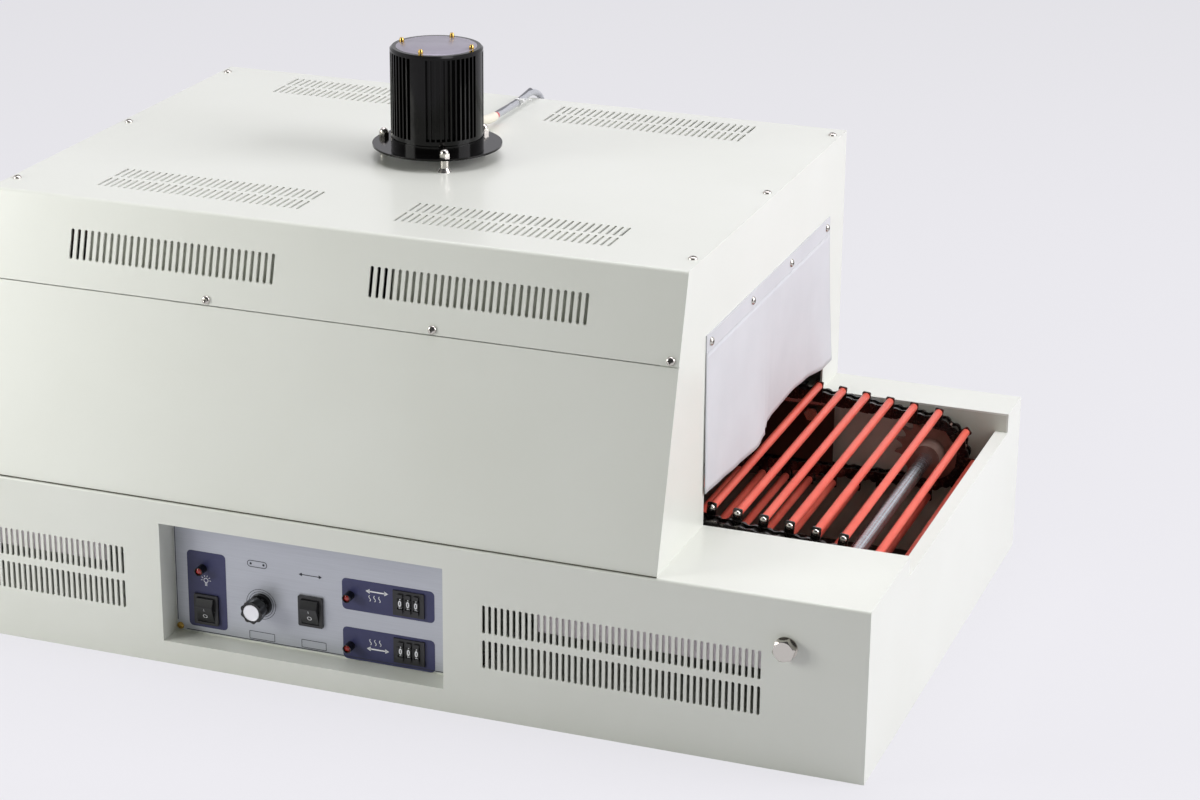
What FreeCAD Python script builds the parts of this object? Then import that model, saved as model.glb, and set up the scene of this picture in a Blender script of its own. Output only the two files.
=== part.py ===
import FreeCAD, Part
import math
import os

os.makedirs("parts", exist_ok=True)
V = FreeCAD.Vector

# Infrared shrink tunnel. Millimetres, +Z up, X along the conveyor, front at -Y.
# The origin is on the floor, at the middle of the base.

# Base cabinet
base_length = 1100.0
base_depth = 580.0
deck_height = 168.0
front_deck_depth = 132.0
bay_width = 390.0
base_sheet = 2.0
base_bend = 3.0
bottom_flange = 20.0
rim_drop = 20.0
rim_width = 13.0

# Vents in the base front, two rows on each side of the control panel
base_vent_count = 45
base_vent_pitch = 6.0
base_vent_start = 186.0
base_vent_width = 3.0
base_vent_height = 28.0
base_vent_rows = (65.5, 100.5)

# Hood over the middle of the conveyor
hood_length = 704.0
hood_height = 264.0
hood_front_foot = 2.0
hood_top_setback = 76.0
hood_sheet = 2.0
hood_flange = 18.0
hood_bend = 4.0
seam_drop = 83.0
seam_gap = 1.0
opening_drop = 96.0

# Vents in the hood front and roof
hood_vent_count = 31
hood_vent_pitch = 7.0
hood_vent_start = 50.0
hood_vent_width = 3.4
hood_vent_height = 28.0
hood_vent_drop = 43.0
roof_vent_width = 3.0
roof_vent_length = 28.0
roof_vent_rows = (-158.0, -125.0, 222.0, 255.0)

# Screws of the hood cover and the curtain clamps
cover_screw_radius = 4.2
cover_screw_height = 2.6
cover_screw_inset = 8.2
seam_screw_rise = 5.0
roof_screw_front = 35.0
roof_screw_shift = 5.8
roof_screw_back = 24.0
curtain_screw_inset = 12.0

# Control recess and faceplate
recess_half_width = 145.5
recess_bottom = 23.0
recess_top = 144.5
recess_depth = 26.5
recess_sheet = 1.5
plate_thickness = 1.5
plate_side_gap = 1.5
plate_bottom_gap = 2.5
plate_top_gap = 1.5
plate_notch = 8.0

# Controls on the faceplate, as X and Z of their centres
power_switch = (-111.5, 50.5)
heater_switch = (-1.0, 66.5)
switch_width = 25.4
switch_height = 31.0
switch_lip = 2.5
switch_corner = 1.5
switch_depth = 20.0
switch_wall = 2.4
rocker_radius = 12.6
rocker_pin_radius = 1.5
rocker_swing = 14.0
knob_centre = (-53.5, 65.0)
knob_radius = 9.6
knob_skirt_radius = 11.5
knob_length = 20.0
knob_flutes = 9
dial_shaft_radius = 3.0
lamp_centres = ((-114.5, 92.5), (40.0, 90.0), (39.5, 38.0))
lamp_radius = 4.4
lamp_length = 9.0
setter_centres = ((100.0, 90.5), (100.0, 41.5))
setter_width = 31.6
setter_height = 25.0
setter_lip = 1.6
setter_depth = 24.0
wheel_pitch = 8.1
wheel_width = 6.0
wheel_radius = 10.5
wheel_teeth = 10
wheel_axle_radius = 1.6

# Conveyor: two roller chains with a rod on every second pitch
chain_pitch = 12.7
roller_radius = 3.96
chain_inner_width = 7.9
chain_plate = 1.5
chain_plate_height = 11.8
chain_wall_gap = 11.0
sprocket_teeth = 17
sprocket_thickness = 7.0
sprocket_hub_radius = 15.0
sprocket_hub_length = 22.0
sprocket_seat_gap = 0.35
tooth_tip_land = 1.4
shaft_inset = 76.0
shaft_height = 121.0
shaft_radius = 7.5
shaft_wall_gap = 1.0
run_height = 167.6
ramp_inset = 7.0
chain_break = 3.2
open_pitches = 4
hand_over = 2.0
rod_radius = 4.0
rod_standoff = 12.4
rod_phase = 2.6
rod_end_gap = 0.2
tab_width = 9.0
tab_above_rod = 4.8
pin_radius = 2.2
pin_head = 3.0
rail_width = 6.8
rail_height = 12.0
rail_foot = 3.5
rail_overhang = 10.0
side_plate_thickness = 2.0
side_plate_foot = 95.0
side_plate_top = 155.5
side_plate_overhang = 18.5
side_bolt_width = 13.0
side_bolt_height = 4.5
side_bolt_inset = 5.0
side_bolt_level = 147.0
rail_nose_drop = 5.0
rail_clearance = 0.1
bearing_radius = 19.0
bearing_length = 14.0
gearbox_setback = 20.0
gearbox_width = 50.0
gearbox_half = 32.0
gearbox_corner = 6.0
gearbox_foot_half = 24.0
gearbox_foot_inset = 8.0
drive_motor_radius = 24.0
drive_motor_length = 98.0
drive_cover_length = 24.0
drive_cover_step = 1.5

# Bolts that hold the exit axle
bolt_radius = 5.0
bolt_depth = 18.0
bolt_head_width = 19.0
bolt_head_height = 8.0
bolt_chamfer = 1.6
bolt_washer_radius = 11.0
bolt_washer = 1.2

# Air circulation motor, behind the middle of the roof
motor_y = 46.0
motor_gap = 12.0
motor_flange_radius = 64.5
motor_flange_thickness = 2.0
motor_radius = 46.0
motor_height = 97.5
motor_cap_height = 4.0
motor_foot_height = 12.0
motor_ring_level = 7.0
motor_ring_height = 1.2
motor_ring_depth = 1.6
motor_land_angle = -1.0
motor_lands = 4
motor_grooves_between = 11
motor_groove_step = 6.5
motor_groove_width = 3.6
motor_groove_depth = 5.0
cap_screw_circle = 37.5
standoff_circle = 58.0
standoff_count = 3
standoff_first_angle = -60.0
standoff_radius = 4.5
standoff_foot_radius = 7.0
standoff_flare = 4.0
stud_radius = 2.5
stud_below_roof = 8.0
stud_above_flange = 4.0
nut_corner_radius = 5.4
nut_height = 4.5
nut_dome_radius = 4.4
motor_shaft_grip = 39.0
fan_shaft_radius = 5.0
fan_radius = 90.0
fan_height = 32.0
fan_blades = 8

# Chamber and heaters
liner_sheet = 1.5
liner_drop = 88.0
liner_foot = 16.0
suction_radius = 80.0
heater_radius = 6.0
upper_heater_count = 5
upper_heater_drop = 16.0
lower_heater_count = 4
heater_inset = 102.0

# Curtains
curtain_width = 398.0
curtain_thickness = 1.2
curtain_bottom = 33.0
curtain_hinge_gap = 1.5
curtain_clamp_height = 17.5
curtain_gap = 0.4

# Fits
running_fit = 0.05
clearance = 0.3

# Places worked out from the sizes above
front_y = -base_depth / 2
back_y = base_depth / 2
bay_front = front_y + front_deck_depth
bay_back = bay_front + bay_width
bay_middle = (bay_front + bay_back) / 2
hood_end = hood_length / 2
roof = deck_height + hood_height
opening_height = hood_height - opening_drop
liner_ceiling = hood_height - liner_drop
curtain_hinge = opening_height + curtain_hinge_gap
curtain_top = curtain_hinge + curtain_clamp_height
heater_spread = hood_length - 2 * heater_inset
hood_lean = math.atan((hood_top_setback - hood_front_foot) / hood_height)
seam = roof - seam_drop
chain_y = (bay_front + chain_wall_gap, bay_back - chain_wall_gap)
chain_half_width = chain_inner_width / 2 + 2 * chain_plate
pitch_radius = chain_pitch / (2 * math.sin(math.pi / sprocket_teeth))
wrap_radius = chain_pitch * sprocket_teeth / (2 * math.pi)
rod_pitch = 2 * chain_pitch
shaft_x = base_length / 2 - shaft_inset
ramp_start = hood_end - ramp_inset
rail_end = hood_end + rail_overhang
plate_front = front_y + recess_depth
plate_back = plate_front + plate_thickness


# Shape helpers
def prism(points, axis, start, end):
    """Extrudes a polygon along an axis; the points are the other two coordinates."""
    place = {"x": lambda a, b: V(start, a, b),
             "y": lambda a, b: V(a, start, b),
             "z": lambda a, b: V(a, b, start)}[axis]
    travel = {"x": V(end - start, 0, 0), "y": V(0, end - start, 0), "z": V(0, 0, end - start)}[axis]
    corners = [place(a, b) for a, b in points]
    return Part.Face(Part.makePolygon(corners + corners[:1])).extrude(travel)


def block(x, y, z):
    """A box from three pairs of limits."""
    return Part.makeBox(x[1] - x[0], y[1] - y[0], z[1] - z[0], V(x[0], y[0], z[0]))


def cylinder(axis, centre, radius, start, end):
    """A round bar along an axis; the centre holds the other two coordinates."""
    a, b = centre
    foot = {"x": V(start, a, b), "y": V(a, start, b), "z": V(a, b, start)}[axis]
    way = {"x": V(1, 0, 0), "y": V(0, 1, 0), "z": V(0, 0, 1)}[axis]
    return Part.makeCylinder(radius, end - start, foot, way)


def turned(profile, centre, axis):
    """Revolves a profile of (radius, height) points about the Z axis through a centre, or about Y."""
    a, b = centre
    if axis == "z":
        points = [V(a + r, b, h) for r, h in profile]
        return Part.Face(Part.makePolygon(points + points[:1])).revolve(V(a, b, 0), V(0, 0, 1), 360)
    points = [V(a + r, h, b) for r, h in profile]
    return Part.Face(Part.makePolygon(points + points[:1])).revolve(V(a, 0, b), V(0, 1, 0), 360)


def joined(shapes):
    """Fuses shapes into one solid and removes the seams."""
    whole = shapes[0].fuse(shapes[1:])
    return whole.removeSplitter()


def slot(axis, x, along, start, end):
    """Cutting body for a slot with round ends; it is narrow in X, and axis is the way it goes through."""
    place = {"y": lambda a, b: V(a, start, b), "z": lambda a, b: V(a, b, start)}[axis]
    travel = {"y": V(0, end - start, 0), "z": V(0, 0, end - start)}[axis]
    middle = (x[0] + x[1]) / 2
    low = along[0] + (x[1] - x[0]) / 2
    high = along[1] - (x[1] - x[0]) / 2
    edges = [Part.makeLine(place(x[0], low), place(x[0], high)),
             Part.Arc(place(x[0], high), place(middle, along[1]), place(x[1], high)).toShape(),
             Part.makeLine(place(x[1], high), place(x[1], low)),
             Part.Arc(place(x[1], low), place(middle, along[0]), place(x[0], low)).toShape()]
    return Part.Face(Part.Wire(edges)).extrude(travel)


def rounded(shape, radius, wanted):
    """Rounds the edges whose middle passes the test."""
    edges = [edge for edge in shape.Edges if wanted(edge.BoundBox.Center)]
    return shape.makeFillet(radius, edges)


def mirrored(shape):
    """The same piece on the other side of X = 0."""
    return shape.mirror(V(0, 0, 0), V(1, 0, 0))


def save(node, solids):
    """Writes one node, from one solid or a list of separate ones."""
    if not isinstance(solids, list):
        solids = [solids]
    pieces = []
    for shape in solids:
        pieces.extend(shape.Solids)
    shape = pieces[0] if len(pieces) == 1 else Part.makeCompound(pieces)
    shape.exportStep("parts/" + node + ".step")


# Base cabinet
def vent_row(starts, pitch, count, width):
    """X limits of a row of slots on both sides of the middle."""
    limits = []
    for side in (-1, 1):
        for index in range(count):
            middle = side * (starts + index * pitch)
            limits.append((middle - width / 2, middle + width / 2))
    return limits


def on_top_bend(middle):
    """Whether an edge is the long outer bend between the base's wall and its deck or ledge."""
    return abs(abs(middle.y) - base_depth / 2) < 0.1 and abs(middle.z - deck_height) < 0.1


def base_front_panel():
    inner = base_length / 2 - base_sheet
    wall = block((-inner, inner), (front_y, front_y + base_sheet), (0, deck_height))
    foot = block((-inner, inner), (front_y, front_y + bottom_flange), (base_sheet, 2 * base_sheet))
    deck = block((-inner, inner), (front_y, bay_front), (deck_height - base_sheet, deck_height))
    panel = joined([wall, foot, deck])
    panel = rounded(panel, base_bend, on_top_bend)
    cuts = [block((-recess_half_width, recess_half_width), (front_y - 1, front_y + base_sheet + 1),
                  (recess_bottom, recess_top))]
    for level in base_vent_rows:
        for limits in vent_row(base_vent_start, base_vent_pitch, base_vent_count, base_vent_width):
            height = (level - base_vent_height / 2, level + base_vent_height / 2)
            cuts.append(slot("y", limits, height, front_y - 1, front_y + base_sheet + 1))
    hole = (shaft_x, shaft_height)
    cuts.append(cylinder("y", hole, bolt_radius + clearance, front_y - 1, front_y + base_sheet + 1))
    return panel.cut(Part.makeCompound(cuts))


def base_back_panel():
    inner = base_length / 2 - base_sheet
    wall = block((-inner, inner), (back_y - base_sheet, back_y), (0, deck_height))
    foot = block((-inner, inner), (back_y - bottom_flange, back_y), (base_sheet, 2 * base_sheet))
    ledge = block((-inner, inner), (bay_back, back_y), (deck_height - base_sheet, deck_height))
    panel = joined([wall, foot, ledge])
    panel = rounded(panel, base_bend, on_top_bend)
    hole = (shaft_x, shaft_height)
    return panel.cut(cylinder("y", hole, bolt_radius + clearance, back_y - base_sheet - 1, back_y + 1))


def base_end_panel():
    outer = base_length / 2
    rim = deck_height - rim_drop
    outline = [(front_y, 0), (back_y, 0), (back_y, deck_height), (bay_back, deck_height), (bay_back, rim),
               (bay_front, rim), (bay_front, deck_height), (front_y, deck_height)]
    plate = rounded(prism(outline, "x", outer - base_sheet, outer), base_bend, on_top_bend)
    flange = block((outer - rim_width, outer), (bay_front, bay_back), (rim - base_sheet, rim))
    return joined([plate, flange])


def base_bottom_pan():
    inner = base_length / 2 - base_sheet
    return block((-inner, inner), (front_y + base_sheet, back_y - base_sheet), (0, base_sheet))


def bay_walls():
    inner = base_length / 2 - base_sheet
    walls = []
    for near, far in ((bay_front - base_sheet, bay_front), (bay_back, bay_back + base_sheet)):
        wall = block((-inner, inner), (near, far), (base_sheet, deck_height - base_sheet))
        holes = []
        for x in (-shaft_x, shaft_x):
            holes.append(cylinder("y", (x, shaft_height), shaft_radius + shaft_wall_gap, near - 1, far + 1))
        for x in heater_places(lower_heater_count):
            holes.append(cylinder("y", (x, lower_heater_level), heater_radius + clearance, near - 1, far + 1))
        walls.append(wall.cut(Part.makeCompound(holes)))
    return walls


def axle_bolts():
    """Bolts through the base panels into the ends of the exit axle."""
    across_corners = bolt_head_width / 2 / math.cos(math.pi / 6)
    corners = []
    for index in range(6):
        turn = math.radians(60 * index + 12)
        corners.append((shaft_x + across_corners * math.cos(turn),
                        shaft_height + across_corners * math.sin(turn)))
    head = prism(corners, "y", -bolt_washer - bolt_head_height, -bolt_washer)
    tip = -bolt_washer - bolt_head_height
    reach = across_corners + 0.1
    envelope = [(0, tip), (bolt_head_width / 2 - 0.4, tip), (reach, tip + bolt_chamfer), (reach, 0), (0, 0)]
    chamfer = turned(envelope, (shaft_x, shaft_height), "y")
    washer = cylinder("y", (shaft_x, shaft_height), bolt_washer_radius, -bolt_washer, 0)
    shank = cylinder("y", (shaft_x, shaft_height), bolt_radius, -1, base_sheet + bolt_depth)
    bolt = joined([head.common(chamfer), washer, shank])
    front = bolt.translated(V(0, front_y, 0))
    back = bolt.mirror(V(0, 0, 0), V(0, 1, 0)).translated(V(0, back_y, 0))
    return [front, back]


# Control recess, faceplate and what is on it
def panel_holes(start, end, gap):
    """Cut-outs for the switches, knob shaft, lamps and setters."""
    holes = []
    for x, z in (power_switch, heater_switch):
        half = switch_width / 2 - switch_wall + gap
        tall = switch_height / 2 - switch_wall + gap
        holes.append(block((x - half, x + half), (start, end), (z - tall, z + tall)))
    for x, z in setter_centres:
        half = setter_width / 2 - 1.5 + gap
        tall = setter_height / 2 - 1 + gap
        holes.append(block((x - half, x + half), (start, end), (z - tall, z + tall)))
    holes.append(cylinder("y", knob_centre, dial_shaft_radius + 1.5, start, end))
    for centre in lamp_centres:
        holes.append(cylinder("y", centre, lamp_radius - 1 + gap, start, end))
    return Part.makeCompound(holes)


def control_recess():
    side = recess_half_width + recess_sheet
    back = plate_back + recess_sheet
    mouth = front_y + base_sheet
    outer = block((-side, side), (mouth, back), (recess_bottom - recess_sheet, recess_top + recess_sheet))
    hollow = block((-recess_half_width, recess_half_width), (mouth - 1, plate_back),
                   (recess_bottom, recess_top))
    tray = outer.cut(hollow)
    return tray.cut(panel_holes(plate_back - 1, back + 1, clearance))


def plate_outline():
    """Faceplate outline with its four corners cut back for the screws."""
    right = recess_half_width - plate_side_gap
    low = recess_bottom + plate_bottom_gap
    high = recess_top - plate_top_gap
    cut = plate_notch
    return [(-right + cut, low), (right - cut, low), (right, low + cut), (right, high - cut),
            (right - cut, high), (-right + cut, high), (-right, high - cut), (-right, low + cut)]


def control_plate():
    plate = prism(plate_outline(), "y", plate_front, plate_back)
    return plate.cut(panel_holes(plate_front - 1, plate_back + 1, clearance))


def screw(centre, way, radius, height):
    """Head of a pan-head screw, seated at a point on a face that looks along way."""
    profile = [(0, 0), (radius, 0), (radius, height / 2), (radius * 2 / 3, height), (0, height)]
    head = turned(profile, (0, 0), "z")
    head.Placement = FreeCAD.Placement(V(*centre), FreeCAD.Rotation(V(0, 0, 1), way))
    return head


def brass_screws():
    heads = []
    right = recess_half_width - 3.2
    for x in (-right, right):
        for z in (recess_bottom + 4.5, recess_top - 3.5):
            heads.append(screw((x, plate_back, z), V(0, -1, 0), 2.6, 2.0))
    for index in range(4):
        turn = math.radians(90 * index - 91)
        place = (cap_screw_circle * math.cos(turn), motor_y + cap_screw_circle * math.sin(turn), motor_top)
        heads.append(screw(place, V(0, 0, 1), 2.4, 4.5))
    return heads


def switch_frame(centre):
    """Rocker switch frame: lip in front of the plate, open well, body behind it."""
    x, z = centre
    half = switch_width / 2
    tall = switch_height / 2
    lip = block((x - half, x + half), (plate_front - switch_lip, plate_front), (z - tall, z + tall))
    lip = rounded(lip, switch_corner,
                  lambda middle: abs(abs(middle.x - x) - half) < 0.1 and abs(abs(middle.z - z) - tall) < 0.1)
    half -= switch_wall
    tall -= switch_wall
    body = block((x - half, x + half), (plate_front, plate_front + switch_depth), (z - tall, z + tall))
    well_half = half - 1.2
    well = block((x - well_half, x + well_half), (plate_front - switch_lip - 1, plate_front + switch_depth - 3),
                 (z - rocker_radius - clearance, z + rocker_radius + clearance))
    pins = cylinder("x", (rocker_axis, z), rocker_pin_radius + running_fit, x - well_half - 1, x + well_half + 1)
    return joined([lip, body]).cut(well).cut(pins)


def rocker(centre):
    """Rocker: round back about its pin, two faces in front, short pin ends at the sides."""
    x, z = centre
    half = switch_width / 2 - switch_wall - 1.2 - clearance
    tall = rocker_radius - 0.1
    reach = 4.6
    bow = cylinder("x", (rocker_axis, z), rocker_radius, x - half, x + half)
    rest = math.radians(rocker_swing / 2)
    nose = [(rocker_axis - 1.5, z - tall), (rocker_axis - reach, z), (rocker_axis - 1.5, z + tall),
            (rocker_axis + rocker_radius, z + tall), (rocker_axis + rocker_radius, z - tall)]
    paddle = prism(nose, "x", x - half, x + half).common(bow)
    ends = cylinder("x", (rocker_axis, z), rocker_pin_radius, x - half - 1, x + half + 1)
    whole = joined([paddle, ends])
    whole.rotate(V(x, rocker_axis, z), V(1, 0, 0), math.degrees(rest))
    return whole


rocker_axis = plate_front - switch_lip + 1.0


def speed_knob():
    x, z = knob_centre
    tip = plate_front - clearance - knob_length
    skirt = turned([(0, plate_front - clearance), (knob_skirt_radius, plate_front - clearance),
                    (knob_skirt_radius - 0.6, plate_front - 4), (0, plate_front - 4)], knob_centre, "y")
    grip = cylinder("y", knob_centre, knob_radius, tip, plate_front - 4)
    grip = rounded(grip, 1.0, lambda middle: middle.y < tip + 0.1)
    flutes = []
    for index in range(knob_flutes):
        turn = 2 * math.pi * index / knob_flutes
        place = (x + (knob_radius + 1.4) * math.cos(turn), z + (knob_radius + 1.4) * math.sin(turn))
        flutes.append(cylinder("y", place, 2.6, tip - 1, plate_front - 6))
    grip = grip.cut(Part.makeCompound(flutes))
    bore = cylinder("y", knob_centre, dial_shaft_radius + running_fit, tip + 6, plate_front + 1)
    body = joined([skirt, grip]).cut(bore)
    cap = cylinder("y", knob_centre, knob_radius - 2, tip - 0.8, tip)
    return [body, cap]


def speed_potentiometer():
    tip = plate_front - clearance - knob_length
    can = cylinder("y", knob_centre, 12.0, plate_back + recess_sheet, plate_back + recess_sheet + 14)
    shaft = cylinder("y", knob_centre, dial_shaft_radius, tip + 6.3, plate_back + recess_sheet + 1)
    neck = cylinder("y", knob_centre, dial_shaft_radius + 1.2, plate_front + 0.2, plate_back + recess_sheet + 1)
    return joined([can, neck, shaft])


def lamps():
    """Indicator lamps: a tube with a lip, and a domed lens in it."""
    pieces = []
    for centre in lamp_centres:
        tip = plate_front - lamp_length
        tube = turned([(lamp_radius - 1.2, tip), (lamp_radius, tip), (lamp_radius, plate_front),
                       (lamp_radius - 1, plate_front), (lamp_radius - 1, plate_back + 12), (0, plate_back + 12),
                       (0, tip + 2), (lamp_radius - 1.2, tip + 2)], centre, "y")
        lens = cylinder("y", centre, lamp_radius - 1.3, tip - 0.6, tip + 1.9)
        lens = rounded(lens, 0.8, lambda middle: middle.y < tip - 0.5)
        pieces.extend([tube, lens])
    return pieces


def wheel_places(centre):
    return [centre[0] + wheel_pitch * step for step in (-1, 0, 1)]


def setter_housing(centre):
    """Three-wheel setter: flanged block with a round chamber and a front slot for each wheel."""
    x, z = centre
    half = setter_width / 2
    tall = setter_height / 2
    lip = block((x - half, x + half), (plate_front - setter_lip, plate_front), (z - tall, z + tall))
    body = block((x - half + 1.5, x + half - 1.5), (plate_front, plate_front + setter_depth),
                 (z - tall + 1, z + tall - 1))
    shell = joined([lip, body])
    chambers = []
    for place in wheel_places(centre):
        room = wheel_width / 2 + clearance
        chambers.append(cylinder("x", (wheel_axis, z), wheel_radius + 0.5, place - room, place + room))
    axle = cylinder("x", (wheel_axis, z), wheel_axle_radius, x - half + 3, x + half - 3)
    return joined([shell.cut(Part.makeCompound(chambers)), axle])


wheel_axis = plate_front + wheel_radius - 3.0


def setter_wheel(x, z):
    """Number wheel: ten flats with a raised ridge between each two."""
    points = []
    for index in range(wheel_teeth):
        for share, radius in ((-0.3, 0.9), (0.3, 0.9), (0.38, 1.0), (0.62, 1.0)):
            turn = 2 * math.pi * (index + share) / wheel_teeth + math.pi
            points.append((wheel_axis + wheel_radius * radius * math.cos(turn),
                           z + wheel_radius * radius * math.sin(turn)))
    wheel = prism(points, "x", x - wheel_width / 2, x + wheel_width / 2)
    bore = cylinder("x", (wheel_axis, z), wheel_axle_radius + running_fit, x - wheel_width, x + wheel_width)
    return wheel.cut(bore)


# Hood
def hood_outline(inset, bottom):
    """Side outline of the hood as (Y, Z) points, moved inwards by a sheet thickness."""
    foot = front_y + hood_front_foot + inset / math.cos(hood_lean)
    top = roof - inset
    rear = back_y - inset
    return [(foot + (bottom - deck_height) * math.tan(hood_lean), bottom),
            (foot + (top - deck_height) * math.tan(hood_lean), top), (rear, top), (rear, bottom)]


def hood_skin():
    """Bent sheet all round the hood, with its front bend rounded."""
    crest = front_y + hood_top_setback
    outer = prism(hood_outline(0, deck_height), "x", -hood_end, hood_end)
    outer = rounded(outer, hood_bend, lambda m: abs(m.y - crest) < 1 and abs(m.z - roof) < 1 and abs(m.x) < 1)
    inner = prism(hood_outline(hood_sheet, deck_height - 1), "x", -hood_end - 1, hood_end + 1)
    inner = rounded(inner, hood_bend - hood_sheet,
                    lambda m: abs(m.y - crest) < 3 and abs(m.z - roof) < 3 and abs(m.x) < 1)
    return outer.cut(inner)


def hood_top_cover():
    skin = hood_skin()
    region = block((-hood_end, hood_end), (front_y, back_y), (seam + seam_gap / 2, roof))
    back = block((-hood_end, hood_end), (back_y - hood_sheet, back_y), (deck_height, roof - hood_sheet))
    cover = skin.common(region).cut(back)
    cuts = [cylinder("z", (0, motor_y), fan_shaft_radius + 2, roof - 10, roof + 10)]
    for index in range(standoff_count):
        place = standoff_place(index)
        cuts.append(cylinder("z", place, stud_radius + running_fit, roof - 10, roof + 10))
    level = roof - hood_vent_drop
    for limits in vent_row(hood_vent_start, hood_vent_pitch, hood_vent_count, hood_vent_width):
        height = (level - hood_vent_height / 2, level + hood_vent_height / 2)
        cuts.append(slot("y", limits, height, front_y, front_y + hood_top_setback + 6))
    for middle in roof_vent_rows:
        for limits in vent_row(hood_vent_start, hood_vent_pitch, hood_vent_count, roof_vent_width):
            length = (middle - roof_vent_length / 2, middle + roof_vent_length / 2)
            cuts.append(slot("z", limits, length, roof - 2 * hood_sheet, roof + 1))
    return cover.cut(Part.makeCompound(cuts))


def hood_lower_front():
    region = block((-hood_end, hood_end), (front_y, bay_middle), (deck_height, seam - seam_gap / 2))
    return hood_skin().common(region)


def hood_back_panel():
    panel = block((-hood_end, hood_end), (back_y - hood_sheet, back_y), (deck_height, roof - hood_sheet))
    return panel.cut(cylinder("y", (lead_x, lead_entry), grommet_neck + running_fit, back_y - 5, back_y + 5))


def hood_end_plate():
    """End plate with flanges turned inwards and the tunnel opening."""
    tray = prism(hood_outline(hood_sheet, deck_height), "x", hood_end - hood_flange, hood_end)
    hollow = prism(hood_outline(2 * hood_sheet, deck_height + hood_sheet), "x", hood_end - hood_flange - 1,
                   hood_end - hood_sheet)
    crest = front_y + hood_top_setback
    tray = rounded(tray, hood_bend - hood_sheet, lambda m: abs(m.y - crest) < 4 and abs(m.z - roof) < 4)
    opening = block((hood_end - hood_flange - 1, hood_end + 1), (bay_front, bay_back),
                    (deck_height - 1, deck_height + opening_height))
    return tray.cut(hollow).cut(opening)


def cover_screws():
    """Screws of the hood cover and the curtain clamps."""
    heads = []
    roof_places = (front_y + hood_top_setback + roof_screw_front, bay_middle + roof_screw_shift,
                   back_y - roof_screw_back)
    for side in (-1, 1):
        for y in roof_places:
            place = (side * (hood_end - cover_screw_inset), y, roof)
            heads.append(screw(place, V(0, 0, 1), cover_screw_radius, cover_screw_height))
    out = V(0, -math.cos(hood_lean), math.sin(hood_lean))
    level = seam + seam_screw_rise
    face = front_y + hood_front_foot + (level - deck_height) * math.tan(hood_lean)
    for share in (-1, -1 / 3, 1 / 3, 1):
        place = (share * (hood_end - cover_screw_inset), face, level)
        heads.append(screw(place, out, cover_screw_radius, cover_screw_height))
    for side in (-1, 1):
        for share in (-1, -1 / 3, 1 / 3, 1):
            y = bay_middle + share * (curtain_width / 2 - curtain_screw_inset)
            place = (side * (hood_end + curtain_thickness), y, curtain_screw_level)
            heads.append(screw(place, V(side, 0, 0), cover_screw_radius, cover_screw_height))
    return heads


curtain_screw_level = deck_height + (curtain_hinge + curtain_top) / 2


# Chamber and heaters
def heater_places(count):
    return [heater_spread * (index / (count - 1) - 0.5) for index in range(count)]


upper_heater_level = deck_height + liner_ceiling - upper_heater_drop
lower_heater_level = shaft_height + 4


def chamber_liner():
    """Liner over the conveyor: two walls, feet on the deck and a ceiling with the fan's inlet."""
    end = hood_end - hood_flange - 1
    ceiling = deck_height + liner_ceiling
    outer = block((-end, end), (bay_front - liner_sheet, bay_back + liner_sheet), (deck_height, ceiling))
    inner = block((-end - 1, end + 1), (bay_front, bay_back), (deck_height - 1, ceiling - liner_sheet))
    feet = block((-end, end), (bay_front - liner_foot, bay_back + liner_foot),
                 (deck_height, deck_height + liner_sheet))
    shell = joined([outer, feet]).cut(inner)
    holes = [cylinder("z", (0, motor_y), suction_radius, ceiling - 5, ceiling + 5)]
    for x in heater_places(upper_heater_count):
        place = (x, upper_heater_level)
        holes.append(cylinder("y", place, heater_radius + clearance, bay_front - 5, bay_back + 5))
    return shell.cut(Part.makeCompound(holes))


def heaters(places, level, wall):
    """Tube heaters across the tunnel, each with a ceramic collar outside the walls at both ends."""
    start = bay_front - wall
    end = bay_back + wall
    tubes = []
    for x in places:
        tube = cylinder("y", (x, level), heater_radius, start - 14, end + 14)
        front = cylinder("y", (x, level), heater_radius + 3, start - 12, start)
        back = cylinder("y", (x, level), heater_radius + 3, end, end + 12)
        tubes.append(joined([tube, front, back]))
    return tubes


# Air circulation
motor_seat = roof + motor_gap + motor_flange_thickness
motor_top = motor_seat + motor_height
fan_level = deck_height + liner_ceiling + 14


def standoff_place(index):
    turn = math.radians(standoff_first_angle + 360 * index / standoff_count)
    return (standoff_circle * math.cos(turn), motor_y + standoff_circle * math.sin(turn))


def motor_flange():
    disc = cylinder("z", (0, motor_y), motor_flange_radius, roof + motor_gap, motor_seat)
    holes = [cylinder("z", (0, motor_y), fan_shaft_radius + running_fit, roof, motor_seat + 5)]
    for index in range(standoff_count):
        holes.append(cylinder("z", standoff_place(index), stud_radius + running_fit, roof, motor_seat + 5))
    return disc.cut(Part.makeCompound(holes))


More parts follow.
